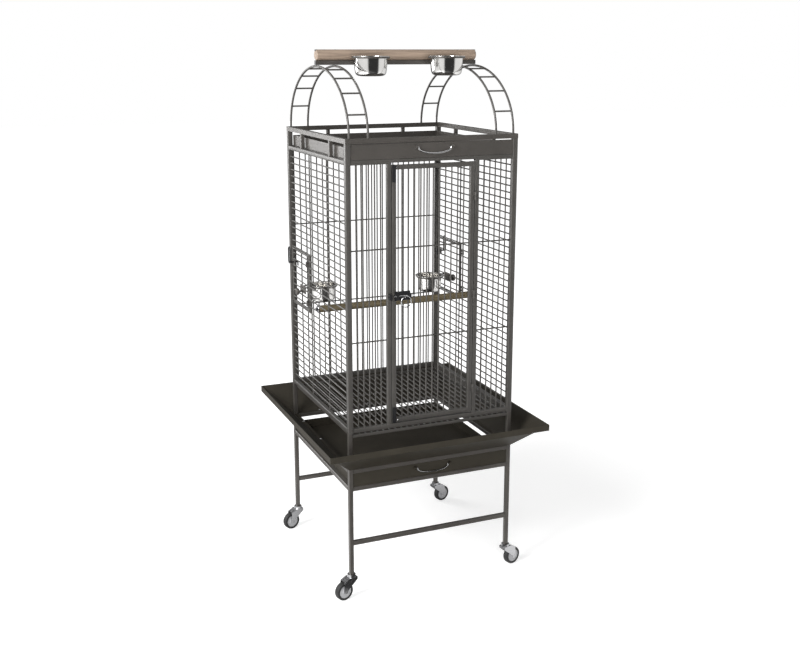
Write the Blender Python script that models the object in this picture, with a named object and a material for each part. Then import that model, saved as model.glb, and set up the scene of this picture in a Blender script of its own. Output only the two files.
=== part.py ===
"""Parrot cage with a play top, on a wheeled stand.

The cage is a box of welded wire panels between four corner posts. It stands on a light tube stand with
four swivel casters, a slide-out waste tray and four sloped seed guards. On top, a low gallery holds a
slide-out play tray, and two ladder arches carry a perch with two steel bowls.

Units are metres and +Z is up. The origin is on the floor under the middle of the cage, and the front,
with the door and the two tray fronts, faces -Y.
"""

import math

import bmesh
import bpy
from mathutils import Matrix, Vector

# Gap between pieces that touch, and looser clearances
GAP = 0.0003
SWING_CLEARANCE = 0.0015
WEAR_CLEARANCE = 0.0005

# Cage plan and heights, from the floor up
CAGE_WIDTH = 0.515
CAGE_DEPTH = 0.525
CASTER_HEIGHT = 0.073
CROSSBAR_LIFT = 0.0887
TRAY_BAY_LIFT = 0.255
TRAY_BAY_HEIGHT = 0.066
BASE_LIFT = 0.106
CAGE_HEIGHT = 0.761
GALLERY_HEIGHT = 0.057
ARCH_RISE = 0.183

# Tubes
LEG_TUBE = 0.0127
POST_TUBE = 0.015
RAIL_TUBE = 0.0127
RING_TUBE = 0.013
STUD_TUBE = 0.010
TUBE_CHAMFER = 0.0015
RAIL_INSET = 0.0011
WELD_DEPTH = 0.004

# Wires of the panels
WIRE = 0.004
WIRE_SET = 0.0045
STAY_GAP = 0.0002
SIDE_WIRE_COUNT = 36
BACK_BAR_COUNT = 25
ROOF_BAR_COUNT = 25
BAY_BAR_COUNT = 5
DOOR_BAR_COUNT = 11
STAY_WIRE_HEIGHTS = (0.2592, 0.5167)
SIDE_STAY_OFFSET = 0.078
END_STRIP = 0.004

# Front door
DOOR_OPENING_WIDTH = 0.252
DOOR_BOTTOM_CLEARANCE = 0.0028
DOOR_TOP_CLEARANCE = 0.003
DOORWAY_HEADER = 0.0095
DOOR_STILE = 0.0127
MULLION_WIDTH = 0.0127
HINGE_BARREL_RADIUS = 0.0032
HINGE_BARREL_LENGTH = 0.012
HINGE_LEAF_WIDTH = 0.005
HINGE_STAND_OFF = 0.0035
DOOR_HINGE_HEIGHTS = (0.090, 0.370, 0.650)

# Door bolt: a round bolt in two guides on a plate, with a ring pull
BOLT_HEIGHT = 0.384
BOLT_RADIUS = 0.0026
BOLT_RUNNING_GAP = 0.0003
BOLT_LENGTH = 0.0615
BOLT_NOSE_SET = 0.003
BOLT_PLATE_WIDTH = 0.047
BOLT_PLATE_HEIGHT = 0.026
BOLT_PLATE_THICKNESS = 0.0016
BOLT_PLATE_INSET = 0.0065
GUIDE_WIDTH = 0.007
GUIDE_HEIGHT = 0.015
GUIDE_DEPTH = 0.0105
GUIDE_END_SET = 0.001
KEEPER_SET = 0.002
RING_PULL_RADIUS = 0.015
RING_PULL_WIRE = 0.0015
RING_PULL_SET = 0.033

# Feeder doors in the two side panels
FEEDER_FIRST_WIRE = 12
FEEDER_LAST_WIRE = 21
FEEDER_FRAME = 0.006
FEEDER_FRAME_SET = 0.0035
FEEDER_BARREL_RADIUS = 0.0025
FEEDER_BARREL_LENGTH = 0.008
FEEDER_STAND_OFF = 0.003
FEEDER_HINGE_WIRES = (13, 19)

# Feeder latch: a shaft with a loop handle outside and a nose inside that turns behind the post's strike
LATCH_SHAFT_RADIUS = 0.0026
LATCH_RUNNING_GAP = 0.0004
LATCH_PLATE = 0.018
LATCH_PLATE_THICKNESS = 0.003
LATCH_EDGE_SET = 0.0125
LATCH_WIRE_SPACE = 18
LATCH_NOSE_LENGTH = 0.0125
LATCH_NOSE_WIDTH = 0.008
LATCH_NOSE_THICKNESS = 0.003
LATCH_LOOP_LENGTH = 0.050
LATCH_LOOP_WIDTH = 0.015
LATCH_LOOP_WIRE = 0.002
LATCH_LOOP_STAND_OFF = 0.0095
STRIKE_REACH = 0.006
STRIKE_THICKNESS = 0.0025
STRIKE_HEIGHT = 0.018

# Bowls, their ring holders and the clamp of the feeder holders
BOWL_WALL = 0.0012
BOWL_RING_WIRE = 0.0025
BOWL_RING_GAP = 0.001
FEEDER_BOWL_RIM_RADIUS = 0.046
FEEDER_BOWL_RADIUS = 0.039
FEEDER_BOWL_DEPTH = 0.053
FEEDER_BOWL_LIFT = 0.0036
FEEDER_BOWL_INSET = 0.076
TOP_BOWL_RIM_RADIUS = 0.054
TOP_BOWL_RADIUS = 0.0475
TOP_BOWL_DEPTH = 0.0545
TOP_BOWL_RIM_LIFT = 0.012
TOP_BOWL_OFFSET = 0.116
TOP_BOWL_REACH = 0.081
HOLDER_ARM_WIRE = 0.0025
HOLDER_ARM_SPREAD = 0.015
HOLDER_PLATE_WIDTH = 0.050
HOLDER_PLATE_HEIGHT = 0.011
HOLDER_PLATE_THICKNESS = 0.0025
CLAMP_WIRE_SPACE = 14
CLAMP_SHAFT_RADIUS = 0.003
CLAMP_KNOB_RADIUS = 0.011
CLAMP_KNOB_LENGTH = 0.011
CLAMP_KNOB_STAND_OFF = 0.002

# Perches
PERCH_RADIUS = 0.0105
PERCH_WIRE_SPACE = 13
PERCH_NECK_RADIUS = 0.003
PERCH_WASHER_RADIUS = 0.011
PERCH_WASHER_THICKNESS = 0.002
PERCH_NUT_RADIUS = 0.006
PERCH_NUT_LENGTH = 0.005
TOP_PERCH_RADIUS = 0.015
TOP_PERCH_LENGTH = 0.494
PERCH_BAR_HEIGHT = 0.0125
PERCH_BAR_DEPTH = 0.0127
PERCH_BAR_OVERHANG = 0.0008

# Ladder arches
ARCH_OUTER_SET = 0.0129
ARCH_RUNG_SPAN = 0.054
ARCH_ROD_RADIUS = 0.0032
RUNG_RADIUS = 0.0024
RUNGS_PER_SIDE = 4
RUNG_LOWERING = 0.009
ARCH_STEPS = 20

# Trays and their bail handles
SHEET = 0.0015
WASTE_TRAY_WALL = 0.0300
PLAY_TRAY_WALL = 0.0312
PLAY_FRONT_HEIGHT = 0.040
PLAY_FRONT_LIFT = 0.0012
TRAY_FRONT_RECESS = 0.002
LEDGE_WIDTH = 0.008
LEDGE_THICKNESS = 0.0012
LEDGE_SET = 0.0001
BAIL_SPAN = 0.102
BAIL_DROP = 0.017
BAIL_WIRE = 0.002
BAIL_RUNNING_GAP = 0.0004
BAIL_STAND_OFF = 0.006
BAIL_EAR_WIDTH = 0.006
BAIL_EAR_RADIUS = 0.0048
BAIL_STEPS = 10

# Floor grate
GRATE_FRAME = 0.006
GRATE_HEIGHT = 0.008
ROOF_FRAME = 0.006
GRATE_GUIDE_DROP = 0.0135
GRATE_GUIDE_SHELF = 0.0115
GRATE_BAR_COUNT = 25
GRATE_STAY_OFFSET = 0.085

# Seed guards
GUARD_OVERHANG = 0.0825
GUARD_RISE = 0.079
GUARD_LIP = 0.018
GUARD_SHEET = 0.0012
GUARD_FLANGE = 0.011

# Casters
WHEEL_RADIUS = 0.0275
WHEEL_WIDTH = 0.018
WHEEL_HUB_RADIUS = 0.0205
WHEEL_BOSS_RADIUS = 0.011
TREAD_CROWN = 0.0015
AXLE_RADIUS = 0.0029
AXLE_RUNNING_GAP = 0.0003
CASTER_TRAIL = 0.027
CASTER_ANGLE = 15.0
FORK_CHEEK = 0.0020
FORK_SIDE_GAP = 0.0015
FORK_BRIDGE = 0.008
FORK_WHEEL_GAP = 0.0025
SWIVEL_RADIUS = 0.0130
SWIVEL_STEP = 0.0008
SWIVEL_HEIGHT = 0.008

# Sides of round shapes
ROD_SIDES = 6
DOWEL_SIDES = 12
BOWL_SIDES = 18
WHEEL_SIDES = 16
AXLE_SIDES = 8
SWIVEL_SIDES = 14
RING_STEPS = 18

# Levels that follow from the heights
CROSSBAR_Z = CASTER_HEIGHT + CROSSBAR_LIFT
BAY_BOTTOM_Z = CASTER_HEIGHT + TRAY_BAY_LIFT
BAY_TOP_Z = BAY_BOTTOM_Z + TRAY_BAY_HEIGHT
BASE_Z = BAY_TOP_Z + BASE_LIFT
HEADER_Z = BASE_Z + CAGE_HEIGHT
GALLERY_Z = HEADER_Z + GALLERY_HEIGHT
RING_Z = GALLERY_Z - RING_TUBE
APEX_Z = GALLERY_Z + ARCH_RISE

# Plan positions that follow from the widths
HALF_WIDTH = CAGE_WIDTH / 2
HALF_DEPTH = CAGE_DEPTH / 2
RAIL_FACE = RAIL_INSET
RAIL_BACK = RAIL_INSET + RAIL_TUBE
PANEL_LOW = BASE_Z + RAIL_INSET + RAIL_TUBE
PANEL_HIGH = HEADER_Z - RAIL_TUBE
WIRE_BACK = WIRE_SET + WIRE
STAY_FRONT = WIRE_BACK + STAY_GAP
STAY_BACK = STAY_FRONT + WIRE
SIDE_PITCH = (PANEL_HIGH - PANEL_LOW) / (SIDE_WIRE_COUNT + 1)
DOOR_EDGE = DOOR_OPENING_WIDTH / 2 - SWING_CLEARANCE


def side_wire_z(index):
    """Height of a side panel's wire, counted from 0 at the bottom; a half gives the space between two."""
    return PANEL_LOW + SIDE_PITCH * (index + 1)


def span(centre, width):
    """The two ends of a stretch of this width about its centre."""
    return centre - width / 2, centre + width / 2


# Frames of the four panels: x runs along the panel, y inwards from its outer face, z up
FRONT = Matrix.Translation((0, -HALF_DEPTH, 0))
BACK = Matrix.Translation((0, HALF_DEPTH, 0)) @ Matrix.Rotation(math.pi, 4, "Z")
LEFT = Matrix.Translation((-HALF_WIDTH, 0, 0)) @ Matrix.Rotation(-math.pi / 2, 4, "Z")
RIGHT = Matrix.Translation((HALF_WIDTH, 0, 0)) @ Matrix.Rotation(math.pi / 2, 4, "Z")
WORLD = Matrix.Identity(4)


# Shapes: each adds one closed shell to a mesh under construction

def box(bm, x, y, z):
    """A block between two values on each axis."""
    centre = Vector((sum(x), sum(y), sum(z))) / 2
    size = (x[1] - x[0], y[1] - y[0], z[1] - z[0], 1)
    bmesh.ops.create_cube(bm, size=1, matrix=Matrix.Translation(centre) @ Matrix.Diagonal(size))


def loft(bm, rings, closed=False):
    """A skin over rings of equal length, with flat ends unless the rings close on themselves."""
    loops = [[bm.verts.new(point) for point in ring] for ring in rings]
    pairs = list(zip(loops, loops[1:]))
    if closed:
        pairs.append((loops[-1], loops[0]))
    for near, far in pairs:
        count = len(near)
        for i in range(count):
            j = (i + 1) % count
            bm.faces.new((near[i], near[j], far[j], far[i]))
    if not closed:
        bm.faces.new(loops[0])
        bm.faces.new(loops[-1])


def extrusion(bm, outline, axis, low, high):
    """An outline carried along X, Y or Z; its two numbers are the other two axes in alphabetical order."""
    index = "XYZ".index(axis)
    rings = []
    for along in (low, high):
        rings.append([Vector((*point[:index], along, *point[index:])) for point in outline])
    loft(bm, rings)


def circle(radius, sides, centre=(0.0, 0.0)):
    """Points of a regular polygon with one flat side facing down its second axis."""
    points = []
    for i in range(sides):
        angle = 2 * math.pi * (i + 0.5) / sides - math.pi / 2
        points.append((centre[0] + radius * math.cos(angle), centre[1] + radius * math.sin(angle)))
    return points


def rod(bm, axis, centre, low, high, radius, sides=ROD_SIDES):
    """A straight round rod along X, Y or Z; centre holds its other two coordinates."""
    extrusion(bm, circle(radius, sides, centre), axis, low, high)


def tube(bm, axis, first, second, low, high):
    """A straight square tube with broken corners, between two values on each of the other two axes."""
    c = TUBE_CHAMFER
    outline = [(first[0] + c, second[0]), (first[1] - c, second[0])]
    outline += [(first[1], second[0] + c), (first[1], second[1] - c)]
    outline += [(first[1] - c, second[1]), (first[0] + c, second[1])]
    outline += [(first[0], second[1] - c), (first[0], second[0] + c)]
    extrusion(bm, outline, axis, low, high)


def sweep(bm, path, side, radius, sides=ROD_SIDES, closed=False):
    """A round rod along a flat path; side is the direction square to the path's plane."""
    side = Vector(side)
    points = [Vector(point) for point in path]
    count = len(points)
    rings = []
    for i, point in enumerate(points):
        before = points[i - 1] if i or closed else point
        after = points[(i + 1) % count] if i < count - 1 or closed else point
        out = (after - before).normalized().cross(side)
        rings.append([point + radius * (a * out + b * side) for a, b in circle(1.0, sides)])
    loft(bm, rings, closed)


def turned(bm, profile, sides, centre, axis="Z"):
    """A turned solid from a profile of (radius, height) whose ends lie on its axis."""
    bottom, top = profile[0], profile[-1]
    rings = []
    for radius, height in profile[1:-1]:
        rings.append([bm.verts.new((a, b, height)) for a, b in circle(radius, sides)])
    poles = [bm.verts.new((0, 0, bottom[1])), bm.verts.new((0, 0, top[1]))]
    made = poles + [vert for ring in rings for vert in ring]
    for i in range(sides):
        j = (i + 1) % sides
        bm.faces.new((poles[0], rings[0][j], rings[0][i]))
        bm.faces.new((poles[1], rings[-1][i], rings[-1][j]))
        for near, far in zip(rings, rings[1:]):
            bm.faces.new((near[i], near[j], far[j], far[i]))
    turn = Matrix.Identity(4)
    if axis == "X":
        turn = Matrix.Rotation(math.pi / 2, 4, "Y") @ Matrix.Rotation(math.pi / 2, 4, "Z")
    bmesh.ops.transform(bm, matrix=Matrix.Translation(centre) @ turn, verts=made)


def ring_frame(bm, x, y, z, tube_width):
    """A flat rectangular ring, mitred at its corners."""
    w = tube_width
    rings = []
    for sx, sy in ((0, 0), (1, 0), (1, 1), (0, 1)):
        outer = (x[sx], y[sy])
        inner = (x[sx] + w * (1 - 2 * sx), y[sy] + w * (1 - 2 * sy))
        rings.append([(*outer, z[0]), (*outer, z[1]), (*inner, z[1]), (*inner, z[0])])
    loft(bm, rings, closed=True)


def hoop(bm, centre, radius, wire, steps=RING_STEPS):
    """A level round ring of wire."""
    points = circle(radius, steps, centre[:2])
    sweep(bm, [(*point, centre[2]) for point in points], (0, 0, 1), wire, closed=True)


def racetrack(centre, width, length, steps=4):
    """A loop in the XZ plane with straight sides and round ends, as (x, z) pairs about its centre."""
    radius = width / 2
    reach = length / 2 - radius
    points = []
    for end in (1, -1):
        for i in range(steps + 1):
            angle = math.pi * i / steps
            points.append((centre[0] + end * radius * math.cos(angle),
                           centre[1] + end * (reach + radius * math.sin(angle))))
    return points


# Pieces

class Piece:
    """One named sub-part. Its mesh is written about its own origin, which a mover has on its joint."""

    def __init__(self, name, shapes, material, frame=WORLD, pivot=(0, 0, 0), parent=None, smooth=False):
        self.pivot = Vector(pivot)
        self.world = frame @ Matrix.Translation(self.pivot)
        self.obj = self.mesh_object(name, shapes)
        self.obj.data.materials.append(material)
        if smooth:
            self.obj.data.shade_smooth()
            self.obj.data.set_sharp_from_angle(angle=math.radians(40))
        if parent:
            self.obj.parent = parent.obj
            self.obj.matrix_basis = parent.world.inverted() @ self.world
        else:
            self.obj.matrix_basis = self.world

    def mesh_object(self, name, shapes):
        bm = bmesh.new()
        shapes(bm)
        bmesh.ops.translate(bm, verts=bm.verts, vec=-self.pivot)
        bmesh.ops.recalc_face_normals(bm, faces=bm.faces)
        mesh = bpy.data.meshes.new(name)
        bm.to_mesh(mesh)
        bm.free()
        obj = bpy.data.objects.new(name, mesh)
        bpy.context.collection.objects.link(obj)
        return obj

    def boolean(self, shapes, operation):
        tool = self.mesh_object(f"{self.obj.name}_{operation.lower()}_{len(self.obj.modifiers)}", shapes)
        tool.parent = self.obj
        tool.hide_render = True
        tool.display_type = "WIRE"
        modifier = self.obj.modifiers.new(tool.name, "BOOLEAN")
        modifier.solver = "EXACT"
        modifier.operation = operation
        modifier.object = tool

    def join(self, shapes):
        """Weld more shapes on; the shapes of one call don't touch each other."""
        self.boolean(shapes, "UNION")

    def cut(self, shapes):
        """Cut shapes away; the shapes of one call don't touch each other."""
        self.boolean(shapes, "DIFFERENCE")


def make_material(name, colour, roughness, metallic):
    """A Principled material with one colour."""
    material = bpy.data.materials.new(name)
    material.use_nodes = True
    shader = material.node_tree.nodes["Principled BSDF"]
    shader.inputs["Base Color"].default_value = (*colour, 1)
    shader.inputs["Roughness"].default_value = roughness
    shader.inputs["Metallic"].default_value = metallic
    material.diffuse_color = (*colour, 1)
    return material


def powder_coat():
    return make_material("charcoal_powder_coat", (0.085, 0.082, 0.080), 0.45, 0.3)


def coated_wire():
    return make_material("charcoal_coated_wire", (0.110, 0.108, 0.106), 0.42, 0.3)


def coated_sheet():
    return make_material("charcoal_coated_sheet", (0.070, 0.068, 0.065), 0.40, 0.3)


def chrome():
    return make_material("chrome", (0.70, 0.70, 0.71), 0.12, 1.0)


def stainless_bowl():
    return make_material("stainless_bowl", (0.62, 0.61, 0.60), 0.22, 1.0)


def olive_dowel():
    return make_material("olive_stained_dowel", (0.105, 0.085, 0.050), 0.60, 0.0)


def taupe_wood():
    return make_material("taupe_wood_dowel", (0.40, 0.30, 0.21), 0.60, 0.0)


def black_rubber():
    return make_material("black_rubber_wheel", (0.020, 0.020, 0.020), 0.55, 0.0)


def black_plastic():
    return make_material("black_plastic", (0.018, 0.018, 0.018), 0.35, 0.0)


def make_materials():
    return {"frame": powder_coat(), "wire": coated_wire(), "sheet": coated_sheet(), "chrome": chrome(),
            "bowl": stainless_bowl(), "perch": olive_dowel(), "top_perch": taupe_wood(),
            "tyre": black_rubber(), "plastic": black_plastic()}


# Stand

def build_stand(mat):
    inner_x = HALF_WIDTH - LEG_TUBE
    inner_y = HALF_DEPTH - LEG_TUBE
    corners = {"front_left": (-1, -1), "front_right": (1, -1), "rear_left": (-1, 1), "rear_right": (1, 1)}
    for label, (sx, sy) in corners.items():
        x = sorted((sx * inner_x, sx * HALF_WIDTH))
        y = sorted((sy * inner_y, sy * HALF_DEPTH))
        Piece(f"leg_{label}", lambda bm: tube(bm, "Z", x, y, CASTER_HEIGHT, BASE_Z - GAP), mat["frame"])
    reach_x = inner_x - GAP
    reach_y = inner_y - GAP
    rows = {"front": (-HALF_DEPTH, -inner_y), "rear": (inner_y, HALF_DEPTH)}
    columns = {"left": (-HALF_WIDTH, -inner_x), "right": (inner_x, HALF_WIDTH)}
    low = (BAY_BOTTOM_Z, BAY_BOTTOM_Z + RAIL_TUBE)
    high = (BAY_TOP_Z - RAIL_TUBE, BAY_TOP_Z)
    bar = (CROSSBAR_Z, CROSSBAR_Z + LEG_TUBE)
    for label, y in rows.items():
        Piece(f"crossbar_{label}", lambda bm: tube(bm, "X", y, bar, -reach_x, reach_x), mat["frame"])
        Piece(f"stand_rail_{label}_top", lambda bm: tube(bm, "X", y, high, -reach_x, reach_x), mat["frame"])
        Piece(f"stand_rail_{label}_bottom", lambda bm: tube(bm, "X", y, low, -reach_x, reach_x), mat["frame"])
    for label, x in columns.items():
        Piece(f"stand_rail_{label}_top", lambda bm: tube(bm, "Y", x, high, -reach_y, reach_y), mat["frame"])
        runner = Piece(f"tray_runner_{label}", lambda bm: tube(bm, "Y", x, low, -reach_y, reach_y),
                       mat["frame"])
        inward = 1 if label == "left" else -1
        root = inward * -(inner_x + TUBE_CHAMFER * 2)
        ledge_x = sorted((root, inward * -(inner_x - LEDGE_WIDTH)))
        ledge_z = (low[1] - LEDGE_SET - LEDGE_THICKNESS, low[1] - LEDGE_SET)
        runner.join(lambda bm: box(bm, ledge_x, (-reach_y + LEG_TUBE, reach_y - LEG_TUBE), ledge_z))


def guard_outline():
    """Cross-section of a seed guard as (distance out from the cage's face, height)."""
    start = GAP
    low = BAY_TOP_Z + GAP
    rim = BAY_TOP_Z + GUARD_RISE
    slope = math.atan2(GUARD_RISE, GUARD_OVERHANG)
    thick = GUARD_SHEET / math.cos(slope)
    rise = (rim - low - thick) / (GUARD_OVERHANG - start)
    under_lip = rim - thick - rise * GUARD_SHEET
    return [(start, low), (GUARD_OVERHANG - GUARD_SHEET, under_lip),
            (GUARD_OVERHANG - GUARD_SHEET, rim - GUARD_LIP), (GUARD_OVERHANG, rim - GUARD_LIP),
            (GUARD_OVERHANG, rim), (start, low + thick)]


def build_guards(mat):
    across = {"front": (FRONT, HALF_WIDTH), "rear": (BACK, HALF_WIDTH)}
    along = {"left": (LEFT, HALF_DEPTH), "right": (RIGHT, HALF_DEPTH)}
    for label, (frame, half) in (across | along).items():
        def sheet(bm):
            ends = []
            for side in (-1, 1):
                ends.append([(side * (half + out - GAP / 2), -out, z) for out, z in guard_outline()])
            loft(bm, ends)

        def flange(bm):
            low = BAY_TOP_Z + GAP
            reach = half - LEG_TUBE - GAP
            box(bm, (-reach, reach), (-GAP - GUARD_SHEET, GUARD_FLANGE), (low + GAP, low + GAP + GUARD_SHEET))

        guard = Piece(f"seed_guard_{label}", sheet, mat["sheet"], frame)
        guard.join(flange)


# Panels

def panel_rails(bm, reach):
    """The bottom rail and the header rail of a panel."""
    depth = (RAIL_FACE, RAIL_BACK)
    box(bm, (-reach, reach), depth, (BASE_Z + RAIL_INSET, PANEL_LOW))
    box(bm, (-reach, reach), depth, (PANEL_HIGH, HEADER_Z))


def upright_wires(bm, low_x, high_x, count, low_z, high_z):
    """Evenly spaced upright wires between two x values, welded into what is below and above."""
    pitch = (high_x - low_x) / (count + 1)
    for i in range(count):
        x = span(low_x + pitch * (i + 1), WIRE)
        box(bm, x, (WIRE_SET, WIRE_BACK), (low_z - WELD_DEPTH, high_z + WELD_DEPTH))


def stay_wires(bm, low_x, high_x):
    """The two level wires behind a row of uprights, carried by what stands at their ends."""
    for height in STAY_WIRE_HEIGHTS:
        box(bm, (low_x, high_x), (STAY_FRONT, STAY_BACK), span(BASE_Z + height, WIRE))


def build_back_panel(mat):
    reach = HALF_WIDTH - POST_TUBE - GAP
    inner = reach - END_STRIP

    def end_strips(bm):
        for x in ((-reach + GAP, -inner), (inner, reach - GAP)):
            box(bm, x, (WIRE_SET, STAY_BACK + GAP), (PANEL_LOW - WELD_DEPTH, PANEL_HIGH + WELD_DEPTH))

    def posts(bm):
        for x in ((-HALF_WIDTH, POST_TUBE - HALF_WIDTH), (HALF_WIDTH - POST_TUBE, HALF_WIDTH)):
            tube(bm, "Z", x, (0, POST_TUBE), BASE_Z, RING_Z - GAP)

    def strikes(bm):
        """The tab on each post that a feeder latch turns behind."""
        for side in (-1, 1):
            face = side * (HALF_WIDTH - strike_depth())
            box(bm, sorted((face, face - side * STRIKE_THICKNESS)),
                (POST_TUBE - WELD_DEPTH, POST_TUBE + STRIKE_REACH), span(latch_height(), STRIKE_HEIGHT))

    panel = Piece("back_panel", posts, mat["wire"], BACK)
    panel.join(lambda bm: panel_rails(bm, reach + WELD_DEPTH))
    panel.join(strikes)
    panel.join(end_strips)
    panel.join(lambda bm: upright_wires(bm, -inner, inner, BACK_BAR_COUNT, PANEL_LOW, PANEL_HIGH))
    panel.join(lambda bm: stay_wires(bm, -inner - END_STRIP / 2, inner + END_STRIP / 2))


def strike_depth():
    """Depth of a latch strike's outer face, measured inwards from the cage's face, behind the feeder door."""
    return FEEDER_FRAME_SET + FEEDER_FRAME + SWING_CLEARANCE


def latch_height():
    """Height of the feeder latches' axis."""
    return side_wire_z(LATCH_WIRE_SPACE + 0.5)


def bolt_hole(bm, x):
    """Square passage of the door bolt along x, in front of the door's face."""
    half = BOLT_RADIUS + BOLT_RUNNING_GAP
    centre = bolt_axis_depth()
    box(bm, x, (centre - half, centre + half), span(BASE_Z + BOLT_HEIGHT, 2 * half))


def bolt_axis_depth():
    """Depth of the bolt's axis, measured inwards from the cage's face."""
    return RAIL_FACE - GAP - GUIDE_DEPTH / 2 - BOLT_PLATE_THICKNESS / 2


def build_front_panel(mat):
    reach = HALF_WIDTH - POST_TUBE - GAP
    opening = DOOR_OPENING_WIDTH / 2
    outer = opening + MULLION_WIDTH
    panel = Piece("front_panel", lambda bm: panel_rails(bm, reach), mat["wire"], FRONT)

    def mullions(bm):
        depth = (RAIL_FACE + GAP, RAIL_BACK - GAP)
        for x in ((-outer, -opening), (opening, outer)):
            box(bm, x, depth, (PANEL_LOW - WELD_DEPTH, PANEL_HIGH + WELD_DEPTH))

    def bay_wires(bm):
        upright_wires(bm, -reach, -outer, BAY_BAR_COUNT, PANEL_LOW, PANEL_HIGH)
        upright_wires(bm, outer, reach, BAY_BAR_COUNT, PANEL_LOW, PANEL_HIGH)

    def bay_stays(bm):
        stay_wires(bm, -reach + GAP, -outer + WELD_DEPTH)
        stay_wires(bm, outer - WELD_DEPTH, reach - GAP)

    def doorway_top(bm):
        """What the header leaves out above the door, between the mullions."""
        z = (PANEL_HIGH - WIRE, HEADER_Z - DOORWAY_HEADER)
        box(bm, (-opening, opening), (-WIRE, RAIL_BACK + WIRE), z)

    def barrels(bm):
        axis_x = opening - SWING_CLEARANCE / 2
        for height in DOOR_HINGE_HEIGHTS:
            z = (BASE_Z + height - HINGE_BARREL_LENGTH, BASE_Z + height)
            rod(bm, "Z", (axis_x, -HINGE_STAND_OFF), *z, HINGE_BARREL_RADIUS, 8)

    def leaves(bm):
        axis_x = opening - SWING_CLEARANCE / 2
        for height in DOOR_HINGE_HEIGHTS:
            z = (BASE_Z + height - HINGE_BARREL_LENGTH + GAP, BASE_Z + height - GAP)
            x = (axis_x + GAP * 4, axis_x + HINGE_LEAF_WIDTH)
            box(bm, x, (-HINGE_STAND_OFF, RAIL_FACE + SWING_CLEARANCE), z)

    panel.join(mullions)
    panel.join(bay_wires)
    panel.join(bay_stays)
    panel.join(leaves)
    panel.join(barrels)
    panel.cut(doorway_top)


def build_door_keeper(mat):
    """The block on the left mullion that takes the end of the door's bolt."""
    opening = DOOR_OPENING_WIDTH / 2
    x = (-opening - MULLION_WIDTH + KEEPER_SET, -opening - KEEPER_SET)
    depth = (RAIL_FACE - GUIDE_DEPTH - BOLT_PLATE_THICKNESS, RAIL_FACE)
    z = span(BASE_Z + BOLT_HEIGHT, GUIDE_HEIGHT)
    keeper = Piece("door_keeper", lambda bm: box(bm, x, depth, z), mat["plastic"], FRONT)
    keeper.cut(lambda bm: bolt_hole(bm, (x[0] - WIRE, x[1] + WIRE)))


def feeder_limits(hand):
    """Ends of a feeder opening along its panel; hand is the side of the panel it is on."""
    front = SIDE_STAY_OFFSET + WIRE / 2
    rear = HALF_DEPTH - POST_TUBE
    return hand * front, hand * rear


def build_side_panel(mat, label, frame, hand):
    front = hand * -HALF_DEPTH
    inner = HALF_DEPTH - POST_TUBE
    welded = hand * -(inner + WELD_DEPTH)
    rear = hand * (inner - GAP)

    def post(bm):
        tube(bm, "Z", sorted((front, hand * -inner)), (0, POST_TUBE), BASE_Z, RING_Z - GAP)

    def rails(bm):
        depth = (RAIL_FACE, RAIL_BACK)
        for z in ((BASE_Z + RAIL_INSET, PANEL_LOW), (PANEL_HIGH, HEADER_Z)):
            box(bm, sorted((welded, rear)), depth, z)

    def wires(bm):
        for i in range(SIDE_WIRE_COUNT):
            in_opening = FEEDER_FIRST_WIRE < i < FEEDER_LAST_WIRE
            end = hand * SIDE_STAY_OFFSET if in_opening else rear
            box(bm, sorted((welded, end)), (WIRE_SET, WIRE_BACK), span(side_wire_z(i), WIRE))

    def stays(bm):
        for side in (-1, 1):
            box(bm, span(side * SIDE_STAY_OFFSET, WIRE), (STAY_FRONT, STAY_BACK),
                (PANEL_LOW - WELD_DEPTH, PANEL_HIGH + WELD_DEPTH))

    def feeder_jamb(bm):
        """The short upright wire at the feeder opening's front edge, where the cut wires end."""
        z = (side_wire_z(FEEDER_FIRST_WIRE), side_wire_z(FEEDER_LAST_WIRE))
        box(bm, span(hand * SIDE_STAY_OFFSET, WIRE), (WIRE_SET + GAP, WIRE_BACK - GAP), z)

    def leaves(bm):
        hinge = feeder_hinge(hand)
        x = sorted((hand * (SIDE_STAY_OFFSET - WIRE / 4), hinge[0] - hand * GAP))
        for wire in FEEDER_HINGE_WIRES:
            middle = side_wire_z(wire + 0.5)
            z = (middle - FEEDER_BARREL_LENGTH + GAP, middle - GAP)
            box(bm, x, (-FEEDER_STAND_OFF, WIRE_BACK - WIRE / 4), z)

    def barrels(bm):
        for wire in FEEDER_HINGE_WIRES:
            middle = side_wire_z(wire + 0.5)
            rod(bm, "Z", feeder_hinge(hand), middle - FEEDER_BARREL_LENGTH, middle, FEEDER_BARREL_RADIUS)

    panel = Piece(f"side_panel_{label}", post, mat["wire"], frame)
    panel.join(rails)
    panel.join(wires)
    panel.join(feeder_jamb)
    panel.join(stays)
    panel.join(leaves)
    panel.join(barrels)


def build_roof_grille(mat):
    reach_x = HALF_WIDTH - POST_TUBE - GAP
    reach_y = HALF_DEPTH - RAIL_BACK - GAP
    z = (HEADER_Z - ROOF_FRAME - GAP, HEADER_Z - GAP)

    def frame(bm):
        ring_frame(bm, (-reach_x, reach_x), (-reach_y, reach_y), z, ROOF_FRAME)

    def bars(bm):
        inner = reach_x - ROOF_FRAME
        pitch = 2 * inner / (ROOF_BAR_COUNT + 1)
        end = reach_y - ROOF_FRAME / 2
        for i in range(ROOF_BAR_COUNT):
            box(bm, span(-inner + pitch * (i + 1), WIRE), (-end, end), span(sum(z) / 2, WIRE))

    roof = Piece("roof_grille", frame, mat["wire"])
    roof.join(bars)


# Front door

def door_hinge():
    """Where the door's hinge axis stands in the front panel's frame."""
    return DOOR_OPENING_WIDTH / 2 - SWING_CLEARANCE / 2, -HINGE_STAND_OFF


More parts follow.
